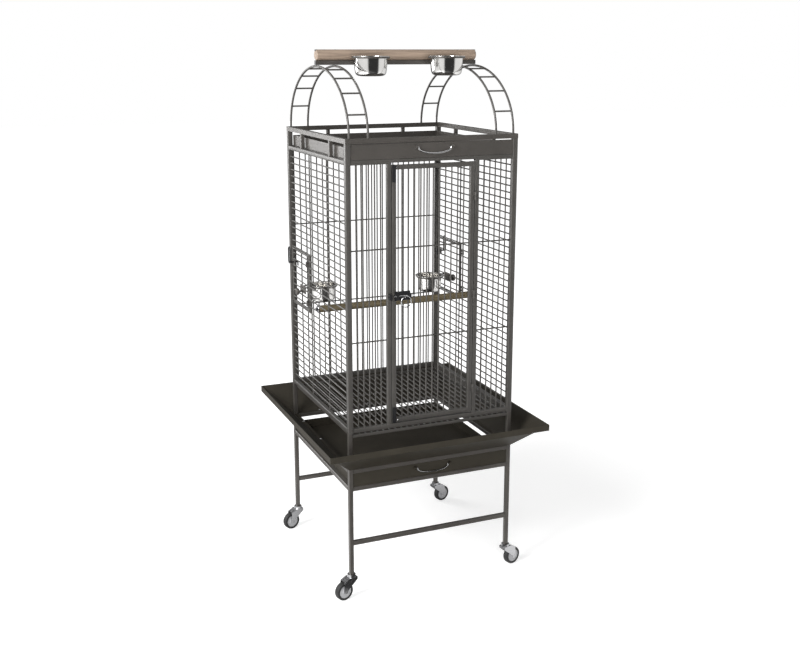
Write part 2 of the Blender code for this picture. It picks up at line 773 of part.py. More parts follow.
def build_door(mat):
    low = PANEL_LOW + DOOR_BOTTOM_CLEARANCE
    high = PANEL_HIGH - DOOR_TOP_CLEARANCE
    depth = (RAIL_FACE, RAIL_BACK)
    inner = DOOR_EDGE - DOOR_STILE
    pivot = (*door_hinge(), BASE_Z)

    def stiles(bm):
        for x in ((-DOOR_EDGE, -inner), (inner, DOOR_EDGE)):
            box(bm, x, depth, (low, high))

    def rails(bm):
        ends = (-inner - WELD_DEPTH, inner + WELD_DEPTH)
        for z in ((low + GAP, low + DOOR_STILE), (high - DOOR_STILE, high - GAP)):
            box(bm, ends, (depth[0] + GAP, depth[1] - GAP), z)

    def leaves(bm):
        axis_x = door_hinge()[0]
        for height in DOOR_HINGE_HEIGHTS:
            z = (BASE_Z + height + GAP * 2, BASE_Z + height + HINGE_BARREL_LENGTH)
            x = (axis_x - HINGE_LEAF_WIDTH, axis_x - GAP * 4)
            box(bm, x, (-HINGE_STAND_OFF, RAIL_FACE + SWING_CLEARANCE), z)

    def barrels(bm):
        for height in DOOR_HINGE_HEIGHTS:
            z = (BASE_Z + height + GAP, BASE_Z + height + GAP + HINGE_BARREL_LENGTH)
            rod(bm, "Z", door_hinge(), *z, HINGE_BARREL_RADIUS, 8)

    door = Piece("door", stiles, mat["wire"], FRONT, pivot)
    door.join(rails)
    ends = (low + DOOR_STILE, high - DOOR_STILE)
    door.join(lambda bm: upright_wires(bm, -inner, inner, DOOR_BAR_COUNT, *ends))
    door.join(lambda bm: stay_wires(bm, -inner - WELD_DEPTH, inner + WELD_DEPTH))
    door.join(leaves)
    door.join(barrels)
    build_door_bolt(mat, door)


def build_door_bolt(mat, door):
    centre_z = BASE_Z + BOLT_HEIGHT
    left = -DOOR_EDGE + BOLT_PLATE_INSET
    right = left + BOLT_PLATE_WIDTH
    face = RAIL_FACE - GAP
    axis_y = bolt_axis_depth()

    def plate(bm):
        box(bm, (left, right), (face - BOLT_PLATE_THICKNESS, face), span(centre_z, BOLT_PLATE_HEIGHT))

    def guides(bm):
        depth = (face - BOLT_PLATE_THICKNESS - GUIDE_DEPTH, face - BOLT_PLATE_THICKNESS / 2)
        for x in (left + GUIDE_END_SET, right - GUIDE_END_SET - GUIDE_WIDTH):
            box(bm, (x, x + GUIDE_WIDTH), depth, span(centre_z, GUIDE_HEIGHT))

    def passage(bm):
        half = BOLT_RADIUS + BOLT_RUNNING_GAP
        box(bm, (left - WIRE, right + WIRE), (axis_y - half, axis_y + half), span(centre_z, 2 * half))

    bolt_plate = Piece("door_bolt_plate", plate, mat["plastic"], FRONT, (left, face, centre_z), door)
    bolt_plate.join(guides)
    bolt_plate.cut(passage)

    nose = -DOOR_EDGE + BOLT_NOSE_SET
    ring_x = nose + RING_PULL_SET
    ring_y = face - BOLT_PLATE_THICKNESS - GUIDE_DEPTH - RING_PULL_WIRE - BOLT_RUNNING_GAP

    def shaft(bm):
        rod(bm, "X", (axis_y, centre_z), nose, nose + BOLT_LENGTH, BOLT_RADIUS, 8)

    def stub(bm):
        rod(bm, "Y", (ring_x, centre_z), ring_y, axis_y, RING_PULL_WIRE * 1.2)

    def ring_pull(bm):
        centre = (ring_x, centre_z - RING_PULL_RADIUS)
        path = [(x, ring_y, z) for x, z in circle(RING_PULL_RADIUS, 14, centre)]
        sweep(bm, path, (0, 1, 0), RING_PULL_WIRE, 5, closed=True)

    bolt = Piece("door_bolt", shaft, mat["chrome"], FRONT, (nose, axis_y, centre_z), door, smooth=True)
    bolt.join(stub)
    bolt.join(ring_pull)


# Feeder doors, latches, holders and bowls

def feeder_hinge(hand):
    """Where a feeder door's hinge axis stands in its side panel's frame."""
    return feeder_limits(hand)[0] + hand * SWING_CLEARANCE / 2, -FEEDER_STAND_OFF


def feeder_middle(hand):
    """Middle of a feeder opening along its panel."""
    return sum(feeder_limits(hand)) / 2


def build_feeder(mat, label, frame, hand):
    near, far = feeder_limits(hand)
    x = sorted((near + hand * SWING_CLEARANCE, far - hand * SWING_CLEARANCE))
    z = (side_wire_z(FEEDER_FIRST_WIRE) + WIRE / 2 + SWING_CLEARANCE,
         side_wire_z(FEEDER_LAST_WIRE) - WIRE / 2 - SWING_CLEARANCE)
    depth = (FEEDER_FRAME_SET, FEEDER_FRAME_SET + FEEDER_FRAME)
    hinge = feeder_hinge(hand)
    latch_x = far - hand * (SWING_CLEARANCE + LATCH_EDGE_SET)
    latch_z = latch_height()

    def frame_ring(bm):
        w = FEEDER_FRAME
        rings = []
        for sx, sz in ((0, 0), (1, 0), (1, 1), (0, 1)):
            outer = (x[sx], z[sz])
            inner = (x[sx] + w * (1 - 2 * sx), z[sz] + w * (1 - 2 * sz))
            rings.append([(outer[0], depth[0], outer[1]), (outer[0], depth[1], outer[1]),
                          (inner[0], depth[1], inner[1]), (inner[0], depth[0], inner[1])])
        loft(bm, rings, closed=True)

    def wires(bm):
        ends = (x[0] + FEEDER_FRAME / 2, x[1] - FEEDER_FRAME / 2)
        for i in range(FEEDER_FIRST_WIRE + 1, FEEDER_LAST_WIRE):
            box(bm, ends, (WIRE_SET, WIRE_BACK), span(side_wire_z(i), WIRE))

    def latch_plate(bm):
        rear = far - hand * (SWING_CLEARANCE + FEEDER_FRAME / 2)
        plate_x = sorted((latch_x - hand * LATCH_PLATE / 2, rear))
        middle = sum(depth) / 2
        box(bm, plate_x, span(middle, LATCH_PLATE_THICKNESS), span(latch_z, LATCH_PLATE * 1.3))

    def latch_hole(bm):
        rod(bm, "Y", (latch_x, latch_z), -WIRE, POST_TUBE, LATCH_SHAFT_RADIUS + LATCH_RUNNING_GAP, 8)

    def leaves(bm):
        leaf_x = sorted((hinge[0] + hand * GAP * 2, near + hand * (SWING_CLEARANCE + FEEDER_FRAME / 2)))
        for wire in FEEDER_HINGE_WIRES:
            middle = side_wire_z(wire + 0.5)
            box(bm, leaf_x, (-FEEDER_STAND_OFF, depth[0] + WIRE / 4),
                (middle + GAP * 2, middle + FEEDER_BARREL_LENGTH))

    def barrels(bm):
        for wire in FEEDER_HINGE_WIRES:
            middle = side_wire_z(wire + 0.5)
            rod(bm, "Z", hinge, middle + GAP, middle + GAP + FEEDER_BARREL_LENGTH, FEEDER_BARREL_RADIUS)

    door = Piece(f"feeder_door_{label}", frame_ring, mat["wire"], frame, (*hinge, z[0]))
    door.join(wires)
    door.join(latch_plate)
    door.cut(latch_hole)
    door.join(leaves)
    door.join(barrels)
    build_feeder_latch(mat, label, frame, door, (latch_x, latch_z))
    build_feeder_holder(mat, label, frame, hand, door)


def build_feeder_latch(mat, label, frame, door, centre):
    x, z = centre
    nose_depth = POST_TUBE + SWING_CLEARANCE
    loop_y = -LATCH_LOOP_STAND_OFF

    def shaft(bm):
        rod(bm, "Y", centre, loop_y, nose_depth + LATCH_NOSE_THICKNESS / 2, LATCH_SHAFT_RADIUS, 8)

    def nose(bm):
        top = z + LATCH_NOSE_WIDTH / 2
        box(bm, span(x, LATCH_NOSE_WIDTH), (nose_depth, nose_depth + LATCH_NOSE_THICKNESS),
            (z - LATCH_NOSE_LENGTH, top))

    def loop(bm):
        middle = (x, z + LATCH_LOOP_LENGTH / 2 - LATCH_LOOP_WIRE)
        points = racetrack(middle, LATCH_LOOP_WIDTH, LATCH_LOOP_LENGTH)
        sweep(bm, [(a, loop_y, b) for a, b in points], (0, 1, 0), LATCH_LOOP_WIRE, closed=True)

    latch = Piece(f"feeder_latch_{label}", shaft, mat["plastic"], frame, (x, 0, z), door)
    latch.join(nose)
    latch.join(loop)


def bowl_profile(radius, rim_radius, depth):
    """Profile of a pressed steel bowl with a flat rim, from the bottom centre out and back in."""
    wall = BOWL_WALL
    foot = radius * 0.74
    heel = radius * 0.93
    outside = [(0, 0), (foot, 0), (heel, depth * 0.14), (radius, depth - wall), (rim_radius, depth - wall)]
    inside = [(rim_radius, depth), (radius - wall, depth), (heel - wall, depth * 0.14 + wall),
              (foot - wall / 2, wall), (0, wall)]
    return outside + inside


def holder(parts, name, material, frame, pivot, parent=None):
    """A bowl holder welded up from its parts, which are functions that each add shapes."""
    piece = Piece(name, parts[0], material, frame, pivot, parent, smooth=True)
    for step in parts[1:]:
        piece.join(step)
    return piece


def build_feeder_holder(mat, label, frame, hand, door):
    middle = feeder_middle(hand)
    frame_top = side_wire_z(FEEDER_FIRST_WIRE) + WIRE / 2 + SWING_CLEARANCE + FEEDER_FRAME
    rim_z = frame_top + FEEDER_BOWL_LIFT + FEEDER_BOWL_DEPTH
    ring_radius = FEEDER_BOWL_RADIUS + BOWL_RING_GAP + BOWL_RING_WIRE
    ring_z = rim_z - BOWL_WALL - GAP - BOWL_RING_WIRE
    plate_face = max(WIRE_BACK, FEEDER_FRAME_SET + FEEDER_FRAME) + GAP
    plate_y = (plate_face, plate_face + HOLDER_PLATE_THICKNESS)
    shaft_z = side_wire_z(CLAMP_WIRE_SPACE + 0.5)

    def plate(bm):
        low = min(ring_z, shaft_z) - HOLDER_PLATE_HEIGHT / 2
        high = max(ring_z, shaft_z) + HOLDER_PLATE_HEIGHT / 2
        box(bm, span(middle, HOLDER_PLATE_WIDTH), plate_y, (low, high))

    def arms(bm):
        reach = FEEDER_BOWL_INSET - ring_radius * math.cos(math.asin(HOLDER_ARM_SPREAD / ring_radius))
        for side in (-1, 1):
            line = (middle + side * HOLDER_ARM_SPREAD, ring_z)
            rod(bm, "Y", line, plate_y[0] + GAP, reach, HOLDER_ARM_WIRE * 0.9)

    def ring(bm):
        hoop(bm, (middle, FEEDER_BOWL_INSET, ring_z), ring_radius, BOWL_RING_WIRE)

    def shaft(bm):
        ends = (-CLAMP_KNOB_STAND_OFF - GAP, plate_y[0] + GAP * 2)
        rod(bm, "Y", (middle, shaft_z), *ends, CLAMP_SHAFT_RADIUS, 8)

    def knob(bm):
        outer = -CLAMP_KNOB_STAND_OFF - CLAMP_KNOB_LENGTH
        rod(bm, "Y", (middle, shaft_z), outer, -CLAMP_KNOB_STAND_OFF, CLAMP_KNOB_RADIUS, 10)

    pivot = (middle, FEEDER_BOWL_INSET, ring_z)
    parts = [plate, shaft, knob, ring, arms]
    ring_holder = holder(parts, f"feeder_holder_{label}", mat["frame"], frame, pivot, door)

    def bowl(bm):
        profile = bowl_profile(FEEDER_BOWL_RADIUS, FEEDER_BOWL_RIM_RADIUS, FEEDER_BOWL_DEPTH)
        turned(bm, profile, BOWL_SIDES, (middle, FEEDER_BOWL_INSET, rim_z - FEEDER_BOWL_DEPTH))

    Piece(f"feeder_bowl_{label}", bowl, mat["bowl"], frame, (middle, FEEDER_BOWL_INSET, rim_z), ring_holder,
          smooth=True)


# Inside perch and floor grate

def build_perch(mat):
    end = HALF_WIDTH - WIRE_BACK - GAP
    washer = HALF_WIDTH - WIRE_SET + GAP
    nut = washer + PERCH_WASHER_THICKNESS
    tip = nut + PERCH_NUT_LENGTH
    half = [(PERCH_RADIUS, end), (PERCH_NECK_RADIUS, end), (PERCH_NECK_RADIUS, washer),
            (PERCH_WASHER_RADIUS, washer), (PERCH_WASHER_RADIUS, nut), (PERCH_NUT_RADIUS, nut),
            (PERCH_NUT_RADIUS, tip), (0, tip)]
    profile = [(radius, -x) for radius, x in reversed(half)] + half
    centre = (0, 0, side_wire_z(PERCH_WIRE_SPACE + 0.5))
    Piece("inside_perch", lambda bm: turned(bm, profile, DOWEL_SIDES, centre, "X"), mat["perch"], smooth=True)


def build_grate_guides(mat):
    """The two folded strips under the side rails that the floor grate slides on."""
    back = LEG_TUBE + GRATE_GUIDE_SHELF
    low = BASE_Z - GRATE_GUIDE_DROP
    high = BASE_Z + RAIL_INSET - GAP
    outline = [(LEG_TUBE - SHEET, low), (back, low), (back, low + SHEET), (LEG_TUBE, low + SHEET),
               (LEG_TUBE, high), (LEG_TUBE - SHEET, high)]
    reach = HALF_DEPTH - POST_TUBE - GAP
    for label, frame in (("left", LEFT), ("right", RIGHT)):
        Piece(f"grate_guide_{label}", lambda bm: extrusion(bm, outline, "X", -reach, reach),
              mat["wire"], frame)


def build_grate(mat):
    reach_x = HALF_WIDTH - LEG_TUBE - WEAR_CLEARANCE
    front = -HALF_DEPTH + WEAR_CLEARANCE
    rear = HALF_DEPTH - LEG_TUBE - GAP
    low = BASE_Z - GRATE_GUIDE_DROP + SHEET + GAP
    z = (low, low + GRATE_HEIGHT)

    def frame(bm):
        ring_frame(bm, (-reach_x, reach_x), (front, rear), z, GRATE_FRAME)

    def bars(bm):
        inner = reach_x - GRATE_FRAME
        pitch = 2 * inner / (GRATE_BAR_COUNT + 1)
        ends = (front + GRATE_FRAME / 2, rear - GRATE_FRAME / 2)
        for i in range(GRATE_BAR_COUNT):
            box(bm, span(-inner + pitch * (i + 1), WIRE), ends, (z[1] - WIRE - GAP, z[1] - GAP))

    def stays(bm):
        top = z[1] - WIRE - GAP - STAY_GAP
        ends = (-reach_x + GRATE_FRAME / 2, reach_x - GRATE_FRAME / 2)
        middle = (front + rear) / 2
        for side in (-1, 1):
            box(bm, ends, span(middle + side * GRATE_STAY_OFFSET, WIRE), (z[0] + GAP, top))

    grate = Piece("floor_grate", frame, mat["wire"], pivot=(0, front, z[0]))
    grate.join(bars)
    grate.join(stays)


# Trays

def tray_shell(bm, x, y, z, wall):
    """An open pan: outside box, inside hollow, and a level rim between them."""
    xi = (x[0] + wall, x[1] - wall)
    yi = (y[0] + wall, y[1] - wall)
    levels = ((x, y, z[0]), (x, y, z[1]), (xi, yi, z[1]), (xi, yi, z[0] + wall))
    rings = []
    for xs, ys, level in levels:
        corners = ((xs[0], ys[0]), (xs[1], ys[0]), (xs[1], ys[1]), (xs[0], ys[1]))
        rings.append([(x, y, level) for x, y in corners])
    loft(bm, rings)


def build_tray(mat, label, pan_x, pan_y, pan_z, front_x, front_z):
    """A pan with a taller front, two bail ears and the bail handle that hangs in them."""
    front_y = (-HALF_DEPTH + TRAY_FRONT_RECESS, -HALF_DEPTH + TRAY_FRONT_RECESS + SHEET)
    bail_y = front_y[0] - BAIL_STAND_OFF
    bail_z = sum(front_z) / 2 + BAIL_DROP / 2
    half = BAIL_SPAN / 2

    def front(bm):
        box(bm, (-front_x, front_x), front_y, front_z)

    def pan(bm):
        tray_shell(bm, (-pan_x, pan_x), (front_y[1] - SHEET / 2, pan_y), pan_z, SHEET)

    def ears(bm):
        outline = circle(BAIL_EAR_RADIUS, 8, (bail_y, bail_z))
        for side in (-1, 1):
            inner = side * (half + GAP)
            outer = side * (half + GAP + BAIL_EAR_WIDTH)
            extrusion(bm, outline, "X", *sorted((inner, outer)))

    def ear_feet(bm):
        for side in (-1, 1):
            inner = side * (half + GAP * 2)
            outer = side * (half + BAIL_EAR_WIDTH)
            depth = (bail_y, front_y[0] + SHEET / 2)
            box(bm, sorted((inner, outer)), depth, span(bail_z, BAIL_EAR_RADIUS * 1.2))

    def ear_holes(bm):
        for side in (-1, 1):
            ends = sorted((side * (half - BAIL_WIRE), side * (half + BAIL_EAR_WIDTH * 2)))
            rod(bm, "X", (bail_y, bail_z), *ends, BAIL_WIRE + BAIL_RUNNING_GAP, DOWEL_SIDES)

    def bail(bm):
        pin = half + BAIL_EAR_WIDTH - GAP
        reach = half - BAIL_WIRE - GAP
        path = [(-pin, bail_y, bail_z)]
        for i in range(BAIL_STEPS + 1):
            angle = math.pi * i / BAIL_STEPS
            drop = BAIL_DROP * max(math.sin(angle), 0) ** 0.8
            path.append((-reach * math.cos(angle), bail_y, bail_z - drop))
        path.append((pin, bail_y, bail_z))
        sweep(bm, path, (0, 1, 0), BAIL_WIRE)

    tray = Piece(f"{label}_tray", front, mat["sheet"], pivot=(0, front_y[0], pan_z[0]))
    tray.join(pan)
    tray.join(ears)
    tray.join(ear_feet)
    tray.cut(ear_holes)
    Piece(f"{label}_tray_bail", bail, mat["chrome"], pivot=(0, bail_y, bail_z), parent=tray, smooth=True)


def build_trays(mat):
    low = BAY_BOTTOM_Z + RAIL_TUBE + GAP
    inner_x = HALF_WIDTH - LEG_TUBE
    build_tray(mat, "waste", inner_x - WEAR_CLEARANCE * 4, HALF_DEPTH - LEG_TUBE - WEAR_CLEARANCE,
               (low, low + WASTE_TRAY_WALL), inner_x - WEAR_CLEARANCE,
               (low + GAP, BAY_TOP_Z - RAIL_TUBE - WEAR_CLEARANCE))
    low = HEADER_Z + GAP
    inner_x = HALF_WIDTH - POST_TUBE
    front_low = HEADER_Z + PLAY_FRONT_LIFT
    build_tray(mat, "play", inner_x - WEAR_CLEARANCE * 2, HALF_DEPTH - POST_TUBE - WEAR_CLEARANCE,
               (low, low + PLAY_TRAY_WALL), inner_x - WEAR_CLEARANCE,
               (front_low, front_low + PLAY_FRONT_HEIGHT))


# Play top

def build_gallery(mat):
    def ring(bm):
        ring_frame(bm, (-HALF_WIDTH, HALF_WIDTH), (-HALF_DEPTH, HALF_DEPTH), (RING_Z, GALLERY_Z), RING_TUBE)

    def studs(bm):
        z = (HEADER_Z + GAP, RING_Z + WELD_DEPTH)
        across = (RING_TUBE - STUD_TUBE) / 2
        offset = DOOR_OPENING_WIDTH / 2
        for side in (-1, 1):
            box(bm, span(side * offset, STUD_TUBE), (HALF_DEPTH - across - STUD_TUBE, HALF_DEPTH - across), z)
            for end in (-1, 1):
                x = sorted((side * (HALF_WIDTH - across), side * (HALF_WIDTH - across - STUD_TUBE)))
                box(bm, x, span(end * offset, STUD_TUBE), z)

    gallery = Piece("gallery", ring, mat["frame"])
    gallery.join(studs)


def arch_point(angle):
    """Point of an arch at an angle from its front foot; half an ellipse between the two ring rails."""
    reach = HALF_DEPTH - RING_TUBE / 2
    foot = GALLERY_Z + GAP + ARCH_ROD_RADIUS
    return -reach * math.cos(angle), foot + (APEX_Z - foot) * math.sin(angle)


def rung_angles():
    """Angles of the rungs, equal stretches of the arch apart, with the first one nearer the foot."""
    samples = [math.pi / 2 * i / 400 for i in range(401)]
    lengths = [0.0]
    for near, far in zip(samples, samples[1:]):
        lengths.append(lengths[-1] + math.dist(arch_point(near), arch_point(far)))
    angles = []
    for rung in range(1, RUNGS_PER_SIDE + 1):
        target = lengths[-1] * rung / (RUNGS_PER_SIDE + 1) - RUNG_LOWERING
        angle = next(a for a, length in zip(samples, lengths) if length >= target)
        angles += [angle, math.pi - angle]
    return angles


def build_arches(mat):
    outer = HALF_WIDTH - ARCH_OUTER_SET
    inner = outer - ARCH_RUNG_SPAN
    for label, side in (("left", -1), ("right", 1)):
        def rails(bm):
            for x in (outer, inner):
                path = [(side * x, *arch_point(math.pi * i / ARCH_STEPS)) for i in range(ARCH_STEPS + 1)]
                feet = [(side * x, path[end][1], GALLERY_Z + GAP) for end in (0, -1)]
                sweep(bm, feet[:1] + path + feet[1:], (1, 0, 0), ARCH_ROD_RADIUS)

        def rungs(bm):
            bite = ARCH_ROD_RADIUS / 2
            ends = sorted((side * (outer - bite), side * (inner + bite)))
            for angle in rung_angles():
                rod(bm, "X", arch_point(angle), *ends, RUNG_RADIUS)

        arch = Piece(f"ladder_arch_{label}", rails, mat["wire"], smooth=True)
        arch.join(rungs)


def build_top_perch(mat):
    low = APEX_Z + ARCH_ROD_RADIUS + GAP
    high = low + PERCH_BAR_HEIGHT
    half = TOP_PERCH_LENGTH / 2 + PERCH_BAR_OVERHANG
    depth = span(0, PERCH_BAR_DEPTH)
    Piece("perch_bar", lambda bm: tube(bm, "X", depth, (low, high), -half, half), mat["frame"])
    flat = TOP_PERCH_RADIUS * math.cos(math.pi / BOWL_SIDES)
    centre_z = high + GAP + flat
    reach = TOP_PERCH_LENGTH / 2
    Piece("top_perch", lambda bm: rod(bm, "X", (0, centre_z), -reach, reach, TOP_PERCH_RADIUS, BOWL_SIDES),
          mat["top_perch"], smooth=True)
    for label, side in (("left", -1), ("right", 1)):
        build_top_bowl(mat, label, side * TOP_BOWL_OFFSET, low, high)


def build_top_bowl(mat, label, x, low, high):
    rim_z = high + TOP_BOWL_RIM_LIFT
    ring_radius = TOP_BOWL_RADIUS + BOWL_RING_GAP + BOWL_RING_WIRE
    ring_z = rim_z - BOWL_WALL - GAP - BOWL_RING_WIRE
    face = -PERCH_BAR_DEPTH / 2 - GAP
    centre_y = -PERCH_BAR_DEPTH / 2 - TOP_BOWL_REACH
    plate_z = (low, high)

    def plate(bm):
        box(bm, span(x, HOLDER_PLATE_WIDTH), (face - HOLDER_PLATE_THICKNESS, face), plate_z)

    def arms(bm):
        start = (face - HOLDER_PLATE_THICKNESS / 2, sum(plate_z) / 2)
        end_y = centre_y + ring_radius * math.cos(math.asin(HOLDER_ARM_SPREAD / ring_radius))
        for side in (-1, 1):
            arm_x = x + side * HOLDER_ARM_SPREAD
            halfway = ((start[0] + end_y) / 2, (start[1] + ring_z) / 2)
            path = [(arm_x, *start), (arm_x, *halfway), (arm_x, end_y, ring_z)]
            sweep(bm, path, (1, 0, 0), HOLDER_ARM_WIRE * 0.9)

    def ring(bm):
        hoop(bm, (x, centre_y, ring_z), ring_radius, BOWL_RING_WIRE)

    holder([plate, ring, arms], f"top_holder_{label}", mat["frame"], WORLD, (x, centre_y, ring_z))

    def bowl(bm):
        profile = bowl_profile(TOP_BOWL_RADIUS, TOP_BOWL_RIM_RADIUS, TOP_BOWL_DEPTH)
        turned(bm, profile, BOWL_SIDES, (x, centre_y, rim_z - TOP_BOWL_DEPTH))

    Piece(f"top_bowl_{label}", bowl, mat["bowl"], pivot=(x, centre_y, rim_z), smooth=True)


# Casters

def build_casters(mat):
    centre_x = HALF_WIDTH - LEG_TUBE / 2
    centre_y = HALF_DEPTH - LEG_TUBE / 2
    turn = math.radians(CASTER_ANGLE)
    corners = {"front_left": (-1, -1), "front_right": (1, -1), "rear_left": (-1, 1), "rear_right": (1, 1)}
    for label, (sx, sy) in corners.items():
        heading = turn if sx > 0 else math.pi + turn
        place = Matrix.Translation((sx * centre_x, sy * centre_y, 0)) @ Matrix.Rotation(heading, 4, "Z")
        build_caster(mat, label, place)


def build_caster(mat, label, place):
    """A caster in its own frame: the swivel axis is z, and the wheel trails towards x."""
    top = CASTER_HEIGHT - GAP
    bridge_top = top - SWIVEL_HEIGHT + WEAR_CLEARANCE
    inside = WHEEL_WIDTH / 2 + FORK_SIDE_GAP
    outside = inside + FORK_CHEEK
    axle = (CASTER_TRAIL, WHEEL_RADIUS * math.cos(math.pi / WHEEL_SIDES))
    eye = AXLE_RADIUS * 2.6
    slot_top = bridge_top - FORK_BRIDGE

    def cheeks(bm):
        outline = [(-SWIVEL_RADIUS, bridge_top), (-SWIVEL_RADIUS, slot_top),
                   (axle[0] - eye, axle[1] + eye / 2), (axle[0] - eye * 0.7, axle[1] - eye * 0.7),
                   (axle[0] + eye * 0.7, axle[1] - eye * 0.7), (axle[0] + eye, axle[1] + eye / 2),
                   (CASTER_TRAIL + eye / 2, slot_top), (SWIVEL_RADIUS, bridge_top)]
        extrusion(bm, outline, "Y", -outside, outside)

    def wheel_slot(bm):
        box(bm, (-SWIVEL_RADIUS * 2, CASTER_TRAIL * 3), (-inside, inside), (-WEAR_CLEARANCE, slot_top))

    def axle_hole(bm):
        rod(bm, "Y", axle, -outside * 2, outside * 2, AXLE_RADIUS + AXLE_RUNNING_GAP, AXLE_SIDES)

    def swivel(bm):
        rod(bm, "Z", (0, 0), bridge_top - WEAR_CLEARANCE, top, SWIVEL_RADIUS - SWIVEL_STEP, SWIVEL_SIDES)

    fork = Piece(f"caster_fork_{label}", cheeks, mat["chrome"], place, (0, 0, top), smooth=True)
    fork.cut(wheel_slot)
    fork.cut(axle_hole)
    fork.join(swivel)

    half = WHEEL_WIDTH / 2
    boss = inside - GAP
    profile = [(0, outside), (AXLE_RADIUS, outside), (AXLE_RADIUS, boss), (WHEEL_BOSS_RADIUS, half * 0.55),
               (WHEEL_HUB_RADIUS, half), (WHEEL_RADIUS - TREAD_CROWN, half), (WHEEL_RADIUS, half * 0.6)]
    mirrored = [(radius, -across) for radius, across in reversed(profile)]
    wheel_place = place @ Matrix.Translation((axle[0], 0, axle[1])) @ Matrix.Rotation(math.pi / 2, 4, "Z")

    def wheel(bm):
        turned(bm, profile + mirrored, WHEEL_SIDES, (0, 0, 0), "X")

    Piece(f"caster_wheel_{label}", wheel, mat["tyre"], wheel_place, parent=fork, smooth=True)


def main():
    for obj in list(bpy.data.objects):
        bpy.data.objects.remove(obj)
    mat = make_materials()
    build_casters(mat)
    build_stand(mat)
    build_guards(mat)
    build_front_panel(mat)
    build_door_keeper(mat)
    build_back_panel(mat)
    build_side_panel(mat, "left", LEFT, -1)
    build_side_panel(mat, "right", RIGHT, 1)
    build_roof_grille(mat)
    build_door(mat)
    build_feeder(mat, "left", LEFT, -1)
    build_feeder(mat, "right", RIGHT, 1)
    build_perch(mat)
    build_grate_guides(mat)
    build_grate(mat)
    build_trays(mat)
    build_gallery(mat)
    build_arches(mat)
    build_top_perch(mat)


main()
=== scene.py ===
# %% [markdown]
# # Dressing a parrot cage with a play top
# The cage arrives as plain solids, already measured and jointed. This lesson gives it what the eye looks
# for: round welded wire, turned bowls, smooth ladder arches, rubber tyres and a textured charcoal coat.
# Every new surface is worked out as whole numpy arrays, so each shape can be read as a formula.

# %% Load the fixed frame
import math

import bpy
import numpy as np
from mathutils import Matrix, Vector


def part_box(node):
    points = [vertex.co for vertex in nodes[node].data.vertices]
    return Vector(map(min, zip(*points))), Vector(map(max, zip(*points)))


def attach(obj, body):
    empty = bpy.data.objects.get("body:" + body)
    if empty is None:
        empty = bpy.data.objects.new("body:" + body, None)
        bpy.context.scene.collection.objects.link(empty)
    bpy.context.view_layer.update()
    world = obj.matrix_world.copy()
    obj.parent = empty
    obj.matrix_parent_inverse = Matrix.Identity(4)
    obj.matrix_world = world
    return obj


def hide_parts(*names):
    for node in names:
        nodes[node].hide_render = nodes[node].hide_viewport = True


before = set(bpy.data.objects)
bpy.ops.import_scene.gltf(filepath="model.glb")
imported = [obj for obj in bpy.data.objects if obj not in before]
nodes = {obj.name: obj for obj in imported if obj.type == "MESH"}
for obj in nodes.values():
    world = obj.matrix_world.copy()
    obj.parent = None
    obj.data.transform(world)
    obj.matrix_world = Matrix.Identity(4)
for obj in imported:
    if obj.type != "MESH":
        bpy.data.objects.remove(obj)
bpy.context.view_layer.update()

# %% [markdown]
# The camera comes first. The photograph looks down from the left front, at about the height of the top perch.
# The lens is the focal length in pixels over the picture's width, times 36. A small vertical shift is all that
# the framing needs, so the legs draw in a little towards the floor.

# %% Camera
FOCAL_PIXELS = 1063.3
EYE = (-1.2118, -2.8998, 1.5474)
YAW, PITCH = math.radians(22.827), math.radians(13.272)
PRINCIPAL = (400.0, 300.0)

camera_data = bpy.data.cameras.new("camera")
camera = bpy.data.objects.new("camera", camera_data)
bpy.context.scene.collection.objects.link(camera)
bpy.context.scene.camera = camera
camera.location = EYE
camera.rotation_euler = (math.pi / 2 - PITCH, 0, -YAW)
camera_data.sensor_width = 36
camera_data.lens = FOCAL_PIXELS / 800 * 36
camera_data.shift_x = (400 - PRINCIPAL[0]) / 800
camera_data.shift_y = (PRINCIPAL[1] - 335.5) / 800
camera_data.clip_end = 50
shift = (round(camera_data.shift_x, 4), round(camera_data.shift_y, 4))
print("lens", round(camera_data.lens, 2), "shift", *shift)

# %% [markdown]
# ## Small tools for surfaces
# Almost everything on a cage is a rod, a tube or a turned piece. All three are one idea: a ring of points
# carried along rows, skinned with quads, and closed by a flat face at each end.

# %% Skin, carry and turn
def skin(points, closed=False):
    """Quads between each row of points and the next; an open skin gets a flat end face on each side."""
    rows, around = points.shape[:2]
    i, j = np.meshgrid(np.arange(rows if closed else rows - 1), np.arange(around), indexing="ij")
    far, turn = (i + 1) % rows, (j + 1) % around
    quads = np.stack([i * around + j, i * around + turn, far * around + turn, far * around + j], -1)
    faces = [quads.reshape(-1, 4)]
    if not closed:
        ring = np.arange(around)[None]
        faces += [ring[:, ::-1], ring + (rows - 1) * around]
    steps = np.linalg.norm(np.diff(points[:, 0], axis=0), axis=1)
    run = np.repeat(np.concatenate([[0], np.cumsum(steps)]), around)
    return points.reshape(-1, 3), faces, run


def disc(radius, sides=16):
    """A ring: radius times cosine and sine of evenly spaced angles."""
    angle = 2 * np.pi * (np.arange(sides) + 0.5) / sides
    return radius * np.stack([np.cos(angle), np.sin(angle)], -1)


def rounded_block(width, height, corner, steps=4):
    """A rectangle whose corners are quarter circles: four arcs about the four inner corners."""
    angle = np.linspace(0, np.pi / 2, steps + 1)[None] + np.arange(4)[:, None] * np.pi / 2
    signs = np.array([[1, 1], [-1, 1], [-1, -1], [1, -1]])
    inner = signs * (np.array([width, height]) / 2 - corner)
    arcs = inner[:, None] + corner * np.stack([np.cos(angle), np.sin(angle)], -1)
    return arcs.reshape(-1, 2)


